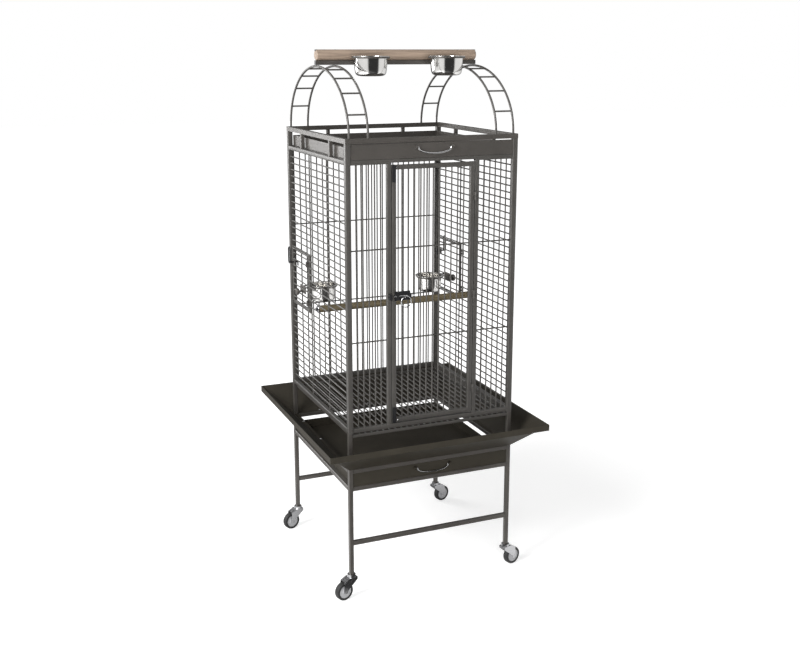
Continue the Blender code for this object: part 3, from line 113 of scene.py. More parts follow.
def carry(profile, path, side, closed=False):
    """Each path point plus the profile's first number outwards and its second along the side direction.

    Outwards is the side direction crossed with the path's own direction, found by central differences.
    """
    path = np.asarray(path, float)
    side = np.asarray(side, float)
    if closed:
        along = np.roll(path, -1, 0) - np.roll(path, 1, 0)
    else:
        along = np.gradient(path, axis=0)
    along /= np.linalg.norm(along, axis=1, keepdims=True)
    out = np.cross(side, along)
    points = path[:, None] + profile[None, :, :1] * out[:, None] + profile[None, :, 1:] * side
    return skin(points, closed)


def turn(profile, centre, axis="Z", sides=48, closed=False):
    """A turned surface: radius times cosine and sine round the axis, plus the height along it."""
    profile = np.asarray(profile, float)
    ring = disc(1.0, sides)
    shape = np.empty((len(profile), sides, 3))
    k = "XYZ".index(axis)
    shape[..., (k + 1) % 3] = profile[:, :1] * ring[:, 0]
    shape[..., (k + 2) % 3] = profile[:, :1] * ring[:, 1]
    shape[..., k] = profile[:, 1:]
    return skin(shape + np.asarray(centre, float), closed)


def wires(starts, ends, radius, sides=12):
    """Many straight round wires at once: a ring of points at both ends of each, square to its length."""
    starts, ends = np.asarray(starts, float), np.asarray(ends, float)
    along = ends - starts
    along /= np.linalg.norm(along, axis=1, keepdims=True)
    side = np.where(np.abs(along[:, 2:]) > 0.9, [[1.0, 0, 0]], [[0, 0, 1.0]])
    out = np.cross(side, along)
    ring = disc(radius, sides)
    shape = ring[None, :, :1] * out[:, None] + ring[None, :, 1:] * side[:, None]
    points = np.stack([starts[:, None] + shape, ends[:, None] + shape], 1)
    count = len(starts)
    first = np.arange(count)[:, None] * 2 * sides
    j = np.arange(sides)[None]
    k = (j + 1) % sides
    quads = np.stack([first + j, first + k, first + sides + k, first + sides + j], -1).reshape(-1, 4)
    return points.reshape(-1, 3), [quads, first + j[:, ::-1], first + sides + j], np.zeros(count * 2 * sides)


def tube(start, end, width, height, side, corner=0.0018):
    """A straight square tube with rounded edges, closed at both ends."""
    return carry(rounded_block(width, height, corner, 3), [start, end], side)


def block(low, high, corner=0.0006):
    """A small rounded block between two corners, carried along X."""
    low, high = np.minimum(low, high), np.maximum(low, high)
    middle = (low + high) / 2
    size = high - low
    corner = min(corner, size[1] / 2.1, size[2] / 2.1)
    return tube((low[0], *middle[1:]), (high[0], *middle[1:]), size[1], size[2], (0, 0, 1), corner)


# %% [markdown]
# A finished piece stays at the origin in the cage's own coordinates, and rides on the solid that carries it.
# Smooth shading with sharp edges above 35 degrees keeps a wire round and a tube's end crisp.

# %% Build a piece
def build(name, shells, material, body, replaces=(), angle=35):
    """Joins shells in one mesh at the origin, smooth except at sharp edges, with its material and its body;
    hides the solids it replaces.
    """
    offset = 0
    points, corners, sizes, runs = [], [], [], []
    for shell_points, faces, run in shells:
        points.append(shell_points)
        runs.append(run)
        for face in faces:
            corners.append((face + offset).ravel())
            sizes.append(np.full(len(face), face.shape[1]))
        offset += len(shell_points)
    points, corners, sizes = np.concatenate(points), np.concatenate(corners), np.concatenate(sizes)
    mesh = bpy.data.meshes.new(name)
    mesh.vertices.add(len(points))
    mesh.vertices.foreach_set("co", points.astype(np.float32).ravel())
    mesh.loops.add(len(corners))
    mesh.loops.foreach_set("vertex_index", corners.astype(np.int32))
    mesh.polygons.add(len(sizes))
    mesh.polygons.foreach_set("loop_start", np.concatenate([[0], np.cumsum(sizes)[:-1]]).astype(np.int32))
    mesh.polygons.foreach_set("loop_total", sizes.astype(np.int32))
    mesh.update(calc_edges=True)
    mesh.validate()
    run_attribute = mesh.attributes.new("run", "FLOAT", "POINT")
    run_attribute.data.foreach_set("value", np.concatenate(runs).astype(np.float32))
    mesh.shade_smooth()
    mesh.set_sharp_from_angle(angle=math.radians(angle))
    mesh.materials.append(material)
    piece = bpy.data.objects.new(name, mesh)
    bpy.context.scene.collection.objects.link(piece)
    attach(piece, body)
    if replaces:
        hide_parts(*replaces)
    print(name, len(points), "points", len(sizes), "faces")
    return piece


# %% [markdown]
# ## Finishes
# The frame is dipped in a charcoal coat that dries with a fine hammered skin. A single colour would look like
# plastic, so the roughness and a shallow bump follow noise at the size of the real texture, about a
# millimetre, with a slower noise over it for the coat's uneven thickness.

# %% Node helpers
def new_material(name, colour, roughness, metallic=0.0, specular=0.5, coat=0.0, coat_roughness=0.2):
    """A Principled material with its constants set; the noises are added by the helpers below."""
    material = bpy.data.materials.new(name)
    material.use_nodes = True
    shader = material.node_tree.nodes["Principled BSDF"]
    shader.inputs["Base Color"].default_value = (*colour, 1)
    shader.inputs["Roughness"].default_value = roughness
    shader.inputs["Metallic"].default_value = metallic
    shader.inputs["Specular IOR Level"].default_value = specular
    shader.inputs["Coat Weight"].default_value = coat
    shader.inputs["Coat Roughness"].default_value = coat_roughness
    material.diffuse_color = (*colour, 1)
    return material


def add_noise(material, scale, stretch=(1, 1, 1), detail=3.0, roughness=0.55, source=None):
    """Noise over the object's own coordinates, stretched per axis; returns its value socket."""
    tree = material.node_tree
    mapping = tree.nodes.new("ShaderNodeMapping")
    mapping.inputs["Scale"].default_value = stretch
    if source is None:
        source = tree.nodes.new("ShaderNodeTexCoord").outputs["Object"]
    tree.links.new(source, mapping.inputs["Vector"])
    noise = tree.nodes.new("ShaderNodeTexNoise")
    noise.inputs["Scale"].default_value = scale
    noise.inputs["Detail"].default_value = detail
    noise.inputs["Roughness"].default_value = roughness
    tree.links.new(mapping.outputs["Vector"], noise.inputs["Vector"])
    return noise.outputs["Fac"]


def spread(material, value, low, high, start=0.3, end=0.7):
    """Stretches a noise value to run from low to high."""
    tree = material.node_tree
    stretch = tree.nodes.new("ShaderNodeMapRange")
    for name, number in (("From Min", start), ("From Max", end), ("To Min", low), ("To Max", high)):
        stretch.inputs[name].default_value = number
    tree.links.new(value, stretch.inputs["Value"])
    return stretch.outputs["Result"]


def link_roughness(material, value):
    """A value into the roughness."""
    material.node_tree.links.new(value, material.node_tree.nodes["Principled BSDF"].inputs["Roughness"])


def link_colours(material, value, stops):
    """A colour ramp over a value, into the base colour."""
    tree = material.node_tree
    ramp = tree.nodes.new("ShaderNodeValToRGB")
    elements = ramp.color_ramp.elements
    while len(elements) < len(stops):
        elements.new(0.5)
    for element, (position, colour) in zip(elements, stops):
        element.position = position
        element.color = (*colour, 1)
    tree.links.new(value, ramp.inputs["Fac"])
    tree.links.new(ramp.outputs["Color"], tree.nodes["Principled BSDF"].inputs["Base Color"])


def link_bump(material, value, distance, strength=0.5):
    """A bump whose height is the value times a distance in metres; bumps can be chained."""
    tree = material.node_tree
    shader = tree.nodes["Principled BSDF"]
    bump = tree.nodes.new("ShaderNodeBump")
    bump.inputs["Distance"].default_value = distance
    bump.inputs["Strength"].default_value = strength
    tree.links.new(value, bump.inputs["Height"])
    if shader.inputs["Normal"].is_linked:
        tree.links.new(shader.inputs["Normal"].links[0].from_socket, bump.inputs["Normal"])
    tree.links.new(bump.outputs["Normal"], shader.inputs["Normal"])


def shade(colour, factor):
    """The colour made darker or lighter by a factor."""
    return tuple(min(1.0, channel * factor) for channel in colour)


# %% [markdown]
# Four families of finish cover the cage. Folded sheet takes a duller coat than tube, and a darker colour that
# is painted shade: it stands for the shade on the guards and inside the trays, which carry the same charcoal
# finish as the tubes. Bright metal has hardly a colour of its own, since it shows the room. Wood is noise
# stretched along the dowel, for grain and pores.

# %% Coats, metals, wood, rubber
def coat_material(name, colour, roughness, metallic=0.2, grain=900.0, specular=0.5, coat=0.15):
    """Baked coat: a fine grain for gloss and bump, and a slow change of colour where it lies thicker."""
    material = new_material(name, colour, roughness, metallic, specular, coat, 0.25)
    fine = add_noise(material, grain, detail=2.0)
    slow = add_noise(material, 14.0, detail=4.0)
    link_roughness(material, spread(material, fine, roughness - 0.07, roughness + 0.09))
    link_colours(material, slow, [(0.3, shade(colour, 0.86)), (0.55, colour), (0.8, shade(colour, 1.18))])
    link_bump(material, fine, 0.00012, 0.35)
    return material


frame_coat = coat_material("hammered charcoal coat", (0.070, 0.064, 0.058), 0.38)
wire_coat = coat_material("charcoal coat on wire", (0.070, 0.066, 0.061), 0.36)
# The sheet coat's colour is about half the tube coat's. That difference is painted shade for the guards and
# the tray insides, not a different paint.
sheet_coat_with_painted_shade = coat_material("charcoal coat on sheet, darkened as painted shade", (0.034, 0.030, 0.023), 0.50, metallic=0.0, grain=700.0,
                           specular=0.15, coat=0.0)


def metal_material(name, colour, roughness, rings=0.0):
    """Bright metal; rings draws the fine turning marks of a spun bowl along its own profile."""
    material = new_material(name, colour, roughness, 1.0)
    slow = add_noise(material, 60.0, detail=3.0)
    link_roughness(material, spread(material, slow, roughness * 0.8, roughness * 1.35))
    if rings:
        tree = material.node_tree
        run = tree.nodes.new("ShaderNodeAttribute")
        run.attribute_name = "run"
        join = tree.nodes.new("ShaderNodeCombineXYZ")
        tree.links.new(run.outputs["Fac"], join.inputs["X"])
        marks = add_noise(material, rings, detail=2.0, source=join.outputs["Vector"])
        link_bump(material, marks, 0.00006, 0.5)
    return material


chrome = metal_material("bright chrome", (0.84, 0.84, 0.85), 0.08)
plated = metal_material("bright plated pressing", (0.46, 0.46, 0.47), 0.24)
spun_steel = metal_material("spun stainless steel", (0.84, 0.83, 0.81), 0.12, 1800.0)


def wood_material(name, colour, roughness):
    """Dowel wood: noise stretched along X for the grain, and a finer one for its pores."""
    material = new_material(name, colour, roughness, 0.0, 0.35)
    grain = add_noise(material, 1.0, (9.0, 190.0, 190.0), 5.0, 0.6)
    pores = add_noise(material, 1.0, (60.0, 1400.0, 1400.0), 2.0)
    link_colours(material, grain, [(0.28, shade(colour, 0.62)), (0.5, colour), (0.74, shade(colour, 1.3))])
    link_roughness(material, spread(material, pores, roughness - 0.08, roughness + 0.12))
    link_bump(material, pores, 0.0002, 0.4)
    link_bump(material, grain, 0.0003, 0.25)
    return material


taupe_wood = wood_material("taupe dowel wood", (0.285, 0.217, 0.166), 0.62)
olive_wood = wood_material("olive stained dowel", (0.125, 0.102, 0.062), 0.55)


def soft_material(name, colour, roughness, grain):
    """Rubber and plastic: a fine matte grain and slightly uneven gloss."""
    material = new_material(name, colour, roughness, 0.0, 0.4)
    fine = add_noise(material, grain, detail=3.0)
    link_roughness(material, spread(material, fine, roughness - 0.06, roughness + 0.1))
    link_bump(material, fine, 0.0001, 0.4)
    return material


rubber = soft_material("black tyre rubber", (0.018, 0.018, 0.018), 0.60, 1200.0)
black_plastic = soft_material("black nylon", (0.014, 0.014, 0.015), 0.38, 900.0)
hub_plastic = soft_material("pale grey hub", (0.36, 0.36, 0.37), 0.40, 600.0)

# %% [markdown]
# Legs, rails, trays, guards and forks keep the shape of their solids, which is already the real one. They
# only need their finish, found by the start of their names.

# %% Give every plain node its finish
# The guards and the waste tray take the sheet coat, whose darker colour is painted shade.
SHEET_WITH_PAINTED_SHADE = ["seed_guard_", "waste_tray"]
for name, obj in nodes.items():
    finish = frame_coat
    if any(name.startswith(start) for start in SHEET_WITH_PAINTED_SHADE):
        finish = sheet_coat_with_painted_shade
    if name.startswith("caster_fork"):
        finish = plated
    if name in ("door_bolt_plate", "door_keeper"):
        finish = black_plastic
    for index in range(max(1, len(obj.material_slots))):
        if obj.material_slots:
            obj.material_slots[index].material = finish
        else:
            obj.data.materials.append(finish)
print("finishes", len(bpy.data.materials))

# %% [markdown]
# ## Wire panels
# Each panel is a rail above and below with 4 mm wire welded between them. The solids use square wire to stay
# light. Here every wire is round, which gives each one its own thin highlight. A panel is drawn flat, with x
# along it, y inwards from the cage's face and z up, and then placed on its side of the cage. GAP is what is
# left between pieces that touch, and SUNK is how far a wire's end is welded into its rail.

# %% Levels and panel placing
HALF_WIDTH, HALF_DEPTH = 0.2575, 0.2625
BASE, HEADER, GALLERY = 0.500, 1.261, 1.318
RAIL, POST, WIRE_RADIUS = 0.0127, 0.015, 0.002
GAP = 0.0003
SUNK = 0.003
RAIL_DEPTH = (0.0011, 0.0138)
SLIM_RAIL_DEPTH = (0.0014, 0.0135)
WIRE_DEPTH, STAY_DEPTH = 0.0065, 0.0106
PANEL_LOW, PANEL_HIGH = BASE + RAIL_DEPTH[0] + RAIL, HEADER - RAIL
WELD = (PANEL_LOW - SUNK, PANEL_HIGH + SUNK)
POST_TOP = GALLERY - 0.0133
STAYS = (BASE + 0.2592, BASE + 0.5167)
SIDE_WIRES = 36
SIDE_PITCH = (PANEL_HIGH - PANEL_LOW) / (SIDE_WIRES + 1)

FACES = {
    "front": ((0, -HALF_DEPTH, 0), (1, 0, 0), (0, 1, 0)),
    "back": ((0, HALF_DEPTH, 0), (-1, 0, 0), (0, -1, 0)),
    "left": ((-HALF_WIDTH, 0, 0), (0, -1, 0), (1, 0, 0)),
    "right": ((HALF_WIDTH, 0, 0), (0, 1, 0), (-1, 0, 0)),
}


def place(shells, face):
    """Turns panel coordinates into the cage's: origin plus x along, y inwards and z up."""
    origin, along, inward = (np.array(vector, float) for vector in FACES[face])
    turned = np.stack([along, inward, [0, 0, 1.0]])
    return [(points @ turned + origin, faces, run) for points, faces, run in shells]


def side_z(index):
    """Height of a side panel's level wire, counted from 0 at the bottom."""
    return PANEL_LOW + SIDE_PITCH * (index + 1)


LATCH_Z = side_z(18.5)


def rail(x, z, depth=RAIL_DEPTH):
    """A level rail between two x values; z is its lower and upper edge."""
    middle = (sum(depth) / 2, sum(z) / 2)
    return tube((x[0], *middle), (x[1], *middle), depth[1] - depth[0], z[1] - z[0], (0, 0, 1))


def stile(x, z, depth=RAIL_DEPTH):
    """An upright between two heights; x is its two edges."""
    middle = (sum(x) / 2, sum(depth) / 2)
    return tube((*middle, z[0]), (*middle, z[1]), depth[1] - depth[0], x[1] - x[0], (1, 0, 0))


def uprights(x, z, count, depth=WIRE_DEPTH):
    """Evenly spaced upright wires between two x values."""
    places = x[0] + (x[1] - x[0]) * np.arange(1, count + 1) / (count + 1)
    flat = np.stack([places, np.full(count, depth)], -1)
    low = np.column_stack([flat, np.full(count, z[0])])
    return wires(low, low + [0, 0, z[1] - z[0]], WIRE_RADIUS)


def levels(x, heights, depth=WIRE_DEPTH):
    """Level wires at these heights between two x values."""
    heights = np.asarray(heights, float)
    start = np.column_stack([np.full(len(heights), x[0]), np.full(len(heights), depth), heights])
    return wires(start, start + [x[1] - x[0], 0, 0], WIRE_RADIUS)


# %% [markdown]
# The back is 25 uprights with two level stays inside them, welded to strips beside the posts. The posts stand
# on the legs and end under the gallery's ring, and each has a tab that a feeder latch turns behind. The roof
# is a level frame of flat bar with round wires across it.

# %% Back and roof
REACH = HALF_WIDTH - POST - GAP
LOW_RAIL = (BASE + RAIL_DEPTH[0], PANEL_LOW)
STRIP = (PANEL_LOW - 0.002, PANEL_HIGH + 0.002)
STRIP_DEPTH = (0.0045, 0.0129)
inner = REACH - 0.004
shells = [rail((-REACH, REACH), LOW_RAIL), rail((-REACH, REACH), (PANEL_HIGH, HEADER)),
          uprights((-inner, inner), WELD, 25), levels((-REACH + 0.001, REACH - 0.001), STAYS, STAY_DEPTH),
          stile((-REACH + GAP, -inner), STRIP, STRIP_DEPTH), stile((inner, REACH - GAP), STRIP, STRIP_DEPTH)]
for side in (-1, 1):
    edges = sorted((side * (HALF_WIDTH - POST), side * HALF_WIDTH))
    shells.append(stile(edges, (BASE, POST_TOP), (0, POST)))
    tab = sorted((side * (HALF_WIDTH - 0.0110), side * (HALF_WIDTH - 0.0135)))
    shells.append(block((tab[0], 0.012, LATCH_Z - 0.009), (tab[1], POST + 0.006, LATCH_Z + 0.009), 0.0008))
build("back_panel_wire", place(shells, "back"), wire_coat, "cage", ["back_panel"])


def flat_grille(low, high, count, frame_width, bar_height, stays=()):
    """A level frame of flat bar with round wires along Y; stays are the y values of wires under them."""
    middle = (low + high) / 2
    half = (high - low) / 2
    tall = high[2] - low[2]
    w = frame_width
    cross = (low[0] + w, high[0] - w)
    shells = []
    for side in (-1, 1):
        x = middle[0] + side * (half[0] - w / 2)
        y = middle[1] + side * (half[1] - w / 2)
        shells.append(tube((x, low[1], middle[2]), (x, high[1], middle[2]), w, tall, (0, 0, 1), 0.0012))
        shells.append(tube((cross[0], y, middle[2]), (cross[1], y, middle[2]), w, tall, (0, 0, 1), 0.0012))
    inside = half[0] - w
    x = middle[0] - inside + 2 * inside * np.arange(1, count + 1) / (count + 1)
    start = np.column_stack([x, np.full(count, low[1] + w / 2), np.full(count, bar_height)])
    shells.append(wires(start, start + [0, high[1] - low[1] - w, 0], WIRE_RADIUS))
    for y in stays:
        start = np.array([[low[0] + w / 2, y, bar_height - 0.0039]])
        shells.append(wires(start, start + [[high[0] - low[0] - w, 0, 0]], 0.0017))
    return shells


low, high = (np.array(corner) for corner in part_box("roof_grille"))
shells = flat_grille(low, high, 25, 0.006, (low[2] + high[2]) / 2)
build("roof_wire", shells, wire_coat, "cage", ["roof_grille"])

# %% [markdown]
# The floor grate is made like the roof, with two stays under its wires to carry a heavy bird. It rides on the
# body that slides out.

# %% Floor grate
low, high = (np.array(corner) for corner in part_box("floor_grate"))
grate_middle = (low[1] + high[1]) / 2
shells = flat_grille(low, high, 25, 0.006, high[2] - 0.0023, (grate_middle - 0.085, grate_middle + 0.085))
build("floor_grate_wire", shells, wire_coat, "floor_grate", ["floor_grate"])

# %% [markdown]
# The front has two fixed bays of wire beside the doorway. The door hangs on three pairs of short hinge
# barrels on the right, and its bolt shoots into a keeper on the left upright.

# %% Front panel and door
OPENING, MULLION_EDGE, DOOR_EDGE = 0.126, 0.1387, 0.1245
DOOR_LOW, DOOR_HIGH = PANEL_LOW + 0.0028, PANEL_HIGH - 0.003
HINGE_X, HINGE_Y = 0.12525, -0.0035
HINGES = (0.090, 0.370, 0.650)
DOOR_BARREL = (0.012, 0.0032)
BOLT_Z = BASE + 0.384


def barrel(x, y, low, high, radius):
    """A hinge barrel with softened rims, closed on its own axis."""
    soft = radius * 0.22
    core = radius * 0.3
    profile = [(core, low), (radius - soft, low), (radius, low + soft), (radius, high - soft),
               (radius - soft, high), (core, high)]
    return turn(profile, (x, y, 0), sides=20)


def hinge_parts(axis, heights, length, radius, leaf_x, leaf_y):
    """Barrels and leaves at each height, with the leaf reaching to the frame that carries it."""
    shells = []
    for low in heights:
        shells.append(barrel(*axis, low, low + length, radius))
        z = (low + 0.0004, low + length - 0.0004)
        shells.append(block((leaf_x[0], leaf_y[0], z[0]), (leaf_x[1], leaf_y[1], z[1])))
    return shells


shells = [rail((-REACH, REACH), LOW_RAIL), rail((-REACH, -OPENING), (PANEL_HIGH, HEADER)),
          rail((OPENING, REACH), (PANEL_HIGH, HEADER)), rail((-OPENING, OPENING), (HEADER - 0.0095, HEADER)),
          stile((-MULLION_EDGE, -OPENING), WELD, SLIM_RAIL_DEPTH),
          stile((OPENING, MULLION_EDGE), WELD, SLIM_RAIL_DEPTH),
          uprights((-REACH, -MULLION_EDGE), WELD, 5), uprights((MULLION_EDGE, REACH), WELD, 5),
          levels((-REACH + 0.0004, -MULLION_EDGE + 0.004), STAYS, STAY_DEPTH),
          levels((MULLION_EDGE - 0.004, REACH - 0.0004), STAYS, STAY_DEPTH)]
shells += hinge_parts((HINGE_X, HINGE_Y), [BASE + height - DOOR_BARREL[0] for height in HINGES],
                      *DOOR_BARREL, (HINGE_X + 0.0012, HINGE_X + 0.005), (HINGE_Y, 0.0026))
build("front_panel_wire", place(shells, "front"), wire_coat, "cage", ["front_panel"])

inner = DOOR_EDGE - RAIL
across = (-inner - SUNK, inner + SUNK)
shells = [stile((-DOOR_EDGE, -inner), (DOOR_LOW, DOOR_HIGH)), stile((inner, DOOR_EDGE), (DOOR_LOW, DOOR_HIGH)),
          rail(across, (DOOR_LOW + GAP, DOOR_LOW + RAIL), SLIM_RAIL_DEPTH),
          rail(across, (DOOR_HIGH - RAIL, DOOR_HIGH - GAP), SLIM_RAIL_DEPTH),
          uprights((-inner, inner), (DOOR_LOW + RAIL - SUNK, DOOR_HIGH - RAIL + SUNK), 11),
          levels(across, STAYS, STAY_DEPTH)]
shells += hinge_parts((HINGE_X, HINGE_Y), [BASE + height + GAP for height in HINGES],
                      *DOOR_BARREL, (HINGE_X - 0.005, HINGE_X - 0.0012), (HINGE_Y, 0.0026))
build("door_wire", place(shells, "front"), wire_coat, "door", ["door"])

# %% [markdown]
# Two black nylon buffers are pinned to the latch side of the door, one at each end, so that steel doesn't
# strike steel when the door is shut. Their black is partly painted shade: they also stand for the shadow in
# the gap at the door's edge. The pins beside them are bright.

# %% Door buffers
edge = sorted((-DOOR_EDGE + 0.0004, -DOOR_EDGE + 0.0108))
shells, pins = [], []
for low, high in ((DOOR_HIGH - 0.046, DOOR_HIGH - 0.0004), (DOOR_LOW + 0.0004, DOOR_LOW + 0.046)):
    shells.append(block((edge[0], -0.0012, low), (edge[1], 0.0016, high), 0.0009))
for z in (DOOR_HIGH - 0.0064, DOOR_LOW + 0.0064):
    pins.append(turn([(0.0005, -0.0006), (0.0022, -0.0004), (0.0028, 0.0004), (0.0028, 0.0018)],
                     (-DOOR_EDGE + 0.0165, 0, z), "Y", 20))
# The black buffers are partly real nylon and partly painted shade for the gap at the door's edge.
build("door_buffers_and_painted_gap_shade", place(shells, "front"), black_plastic, "door")
build("door_buffer_pins", place(pins, "front"), plated, "door")

# %% [markdown]
# The side panels carry level wires between the corner posts, and two upright stays inside them. To the rear of
# the second stay there is a feeder opening, where the wires stop at a short upright.

# %% Side panels
FEEDER_X = (0.080, HALF_DEPTH - POST)
FEEDER_LOW, FEEDER_HIGH = 12, 21
FEEDER_STAY = 0.078
FEEDER_HINGE = (0.08075, -0.003)
FEEDER_HINGE_WIRES = (13, 19)
FEEDER_BARREL = (0.008, 0.0025)


def side_panel(hand):
    """Front post, rails, wires, stays and the feeder's fixed hinge halves; hand is -1 left and 1 right."""
    inner = HALF_DEPTH - POST
    welded, rear = -hand * (inner + SUNK), hand * (inner - GAP)
    full = sorted((welded, rear))
    shells = [stile(sorted((-hand * HALF_DEPTH, -hand * inner)), (BASE, POST_TOP), (0, POST)),
              rail(full, LOW_RAIL), rail(full, (PANEL_HIGH, HEADER))]
    index = np.arange(SIDE_WIRES)
    cut = (index > FEEDER_LOW) & (index < FEEDER_HIGH)
    shells.append(levels(full, side_z(index[~cut])))
    shells.append(levels(sorted((hand * FEEDER_STAY, welded)), side_z(index[cut])))
    for x in (-FEEDER_STAY, FEEDER_STAY):
        start = np.array([[x, STAY_DEPTH, WELD[0]]])
        shells.append(wires(start, start + [[0, 0, PANEL_HIGH - PANEL_LOW + 2 * SUNK]], WIRE_RADIUS))
    start = np.array([[hand * FEEDER_STAY, WIRE_DEPTH, side_z(FEEDER_LOW)]])
    shells.append(wires(start, start + [[0, 0, (FEEDER_HIGH - FEEDER_LOW) * SIDE_PITCH]], 0.0019))
    axis = (hand * FEEDER_HINGE[0], FEEDER_HINGE[1])
    heights = [side_z(wire + 0.5) - FEEDER_BARREL[0] for wire in FEEDER_HINGE_WIRES]
    leaf_x = sorted((hand * 0.077, axis[0] - hand * GAP))
    return shells + hinge_parts(axis, heights, *FEEDER_BARREL, leaf_x, (FEEDER_HINGE[1], 0.0072))


for label, hand in (("left", -1), ("right", 1)):
    build(f"side_panel_wire_{label}", place(side_panel(hand), label), wire_coat, "cage",
          [f"side_panel_{label}"])

# %% [markdown]
# ## Feeders
# A feeder door is a small wire frame that swings out with its bowl, so the bird can be fed from outside. A
# quarter-turn latch holds it, and a knob clamps the bowl's ring through the wires.

# %% Feeder doors
def feeder_door(hand):
    """A ring of square bar with level wires, the latch's plate and the moving half of two hinges."""
    near, far = FEEDER_X[0] + 0.0015, FEEDER_X[1] - 0.0015
    z = (side_z(FEEDER_LOW) + 0.0035, side_z(FEEDER_HIGH) - 0.0035)
    w = 0.006
    depth = (0.0035, 0.0095)
    x = sorted((hand * near, hand * far))
    between = (x[0] + w, x[1] - w)
    shells = [stile((x[0], x[0] + w), z, depth), stile((x[1] - w, x[1]), z, depth),
              rail(between, (z[0], z[0] + w), depth), rail(between, (z[1] - w, z[1]), depth),
              levels((x[0] + w / 2, x[1] - w / 2), side_z(np.arange(FEEDER_LOW + 1, FEEDER_HIGH)))]
    latch_x = hand * (far - 0.0125)
    plate_x = sorted((latch_x - hand * 0.009, hand * (far - w / 2)))
    shells.append(block((plate_x[0], 0.005, LATCH_Z - 0.0117), (plate_x[1], 0.008, LATCH_Z + 0.0117), 0.001))
    axis = (hand * FEEDER_HINGE[0], FEEDER_HINGE[1])
    heights = [side_z(wire + 0.5) + GAP for wire in FEEDER_HINGE_WIRES]
    leaf_x = sorted((axis[0] + hand * 2 * GAP, hand * (near + w / 2)))
    return shells + hinge_parts(axis, heights, *FEEDER_BARREL, leaf_x, (FEEDER_HINGE[1], 0.0045))


def loop_path(centre, width, length, y, steps=24):
    """A loop with straight sides: two half circles whose centres are the straight part's length apart."""
    angle = np.linspace(0, np.pi, steps)
    reach = length / 2 - width / 2
    arc = width / 2 * np.stack([np.cos(angle), np.sin(angle)], -1) + [0, reach]
    points = np.concatenate([arc, -arc]) + centre
    return np.stack([points[:, 0], np.full(len(points), y), points[:, 1]], -1)


def feeder_latch(hand):
    """A shaft through the door's plate, with a nose inside and a loop handle outside, resting unlatched."""
    x, z = hand * (FEEDER_X[1] - 0.014), LATCH_Z
    shells = [turn([(0.0008, -0.0108), (0.0026, -0.0095), (0.0026, 0.0178)], (x, 0, z), "Y", 24),
              stile((x - 0.004, x + 0.004), (z - 0.0125, z + 0.004), (0.0165, 0.0195))]
    path = loop_path((x, z + 0.023), 0.015, 0.050, -0.0095)
    shells.append(carry(disc(0.002), path[::-1], (0, 1, 0), closed=True))
    return shells


# %% [markdown]
# A bowl is spun from one steel disc, so one line turned about an axis makes it: up the outside, round the
# rolled rim and down the inside. Each corner is a short quadratic curve from just before it to just after it.

# %% Bowls and their rings
def smooth_profile(points, corner_steps=6, share=0.35):
    """Rounds the inner corners of a profile with short quadratic curves between points near each corner."""
    points = np.asarray(points, float)
    before, here, after = points[:-2], points[1:-1], points[2:]
    enter = here + (before - here) * share
    leave = here + (after - here) * share
    t = np.linspace(0, 1, corner_steps)[:, None, None]
    curve = (1 - t) ** 2 * enter + 2 * t * (1 - t) * here + t ** 2 * leave
    return np.concatenate([points[:1], curve.transpose(1, 0, 2).reshape(-1, 2), points[-1:]])


def bowl(centre, radius, rim, depth):
    """A spun bowl: up the outside, round the rolled rim, down the inside."""
    x, y, z = centre
    wall = 0.0012
    foot, heel, lift = radius * 0.74, radius * 0.93, depth * 0.14
    outside = smooth_profile([(0.001, 0), (foot, 0.0), (heel, lift), (radius - 0.0003, depth - wall)], 8, 0.4)
    roll = np.linspace(-np.pi / 2, np.pi / 2, 7)
    edge = np.stack([rim - wall / 2 + wall / 2 * np.cos(roll), depth - wall / 2 + wall / 2 * np.sin(roll)], -1)
    inside = smooth_profile([(radius - wall - 0.0003, depth), (radius - wall - 0.0006, depth - 0.003),
                             (heel - wall, lift + wall), (foot - wall / 2, wall), (0.001, wall)], 8, 0.4)
    profile = np.concatenate([outside, [(radius, depth - wall)], edge, inside])
    return turn(profile, (x, y, z - depth), sides=64)


def ring(centre, radius, wire):
    """A level ring of round wire."""
    angle = np.linspace(0, 2 * np.pi, 64, endpoint=False)
    path = np.stack([centre[0] + radius * np.cos(angle), centre[1] + radius * np.sin(angle),
                     np.full(64, centre[2])], -1)
    return carry(disc(wire, 12), path, (0, 0, 1), closed=True)


FEEDER_MIDDLE, FEEDER_INSET = sum(FEEDER_X) / 2, 0.076
FEEDER_RIM_Z = side_z(FEEDER_LOW) + 0.0661
RIM_OVER_RING = 0.004


def feeder_holder(hand):
    """A clamp plate inside the wires, its screw and knob outside them, and a ring on two arms."""
    x = hand * FEEDER_MIDDLE
    ring_z = FEEDER_RIM_Z - RIM_OVER_RING
    shaft_z = side_z(14.5)
    shells = [block((x - 0.025, 0.0098, shaft_z - 0.0055), (x + 0.025, 0.0123, ring_z + 0.0055), 0.001)]
    shells.append(turn([(0.0008, -0.0023), (0.003, -0.0023), (0.003, 0.0104)], (x, 0, shaft_z), "Y", 20))
    knob = [(0.0008, -0.013), (0.0085, -0.0128), (0.0105, -0.0115), (0.011, -0.0095), (0.011, -0.0055),
            (0.0095, -0.0035), (0.006, -0.002), (0.0008, -0.002)]
    shells.append(turn(smooth_profile(knob, 3, 0.3), (x, 0, shaft_z), "Y", 28))
    shells.append(ring((x, FEEDER_INSET, ring_z), 0.0425, 0.0025))
    for side in (-1, 1):
        start = np.array([[x + side * 0.015, 0.0102, ring_z]])
        shells.append(wires(start, start + [[0, 0.0262, 0]], 0.0023))
    return shells


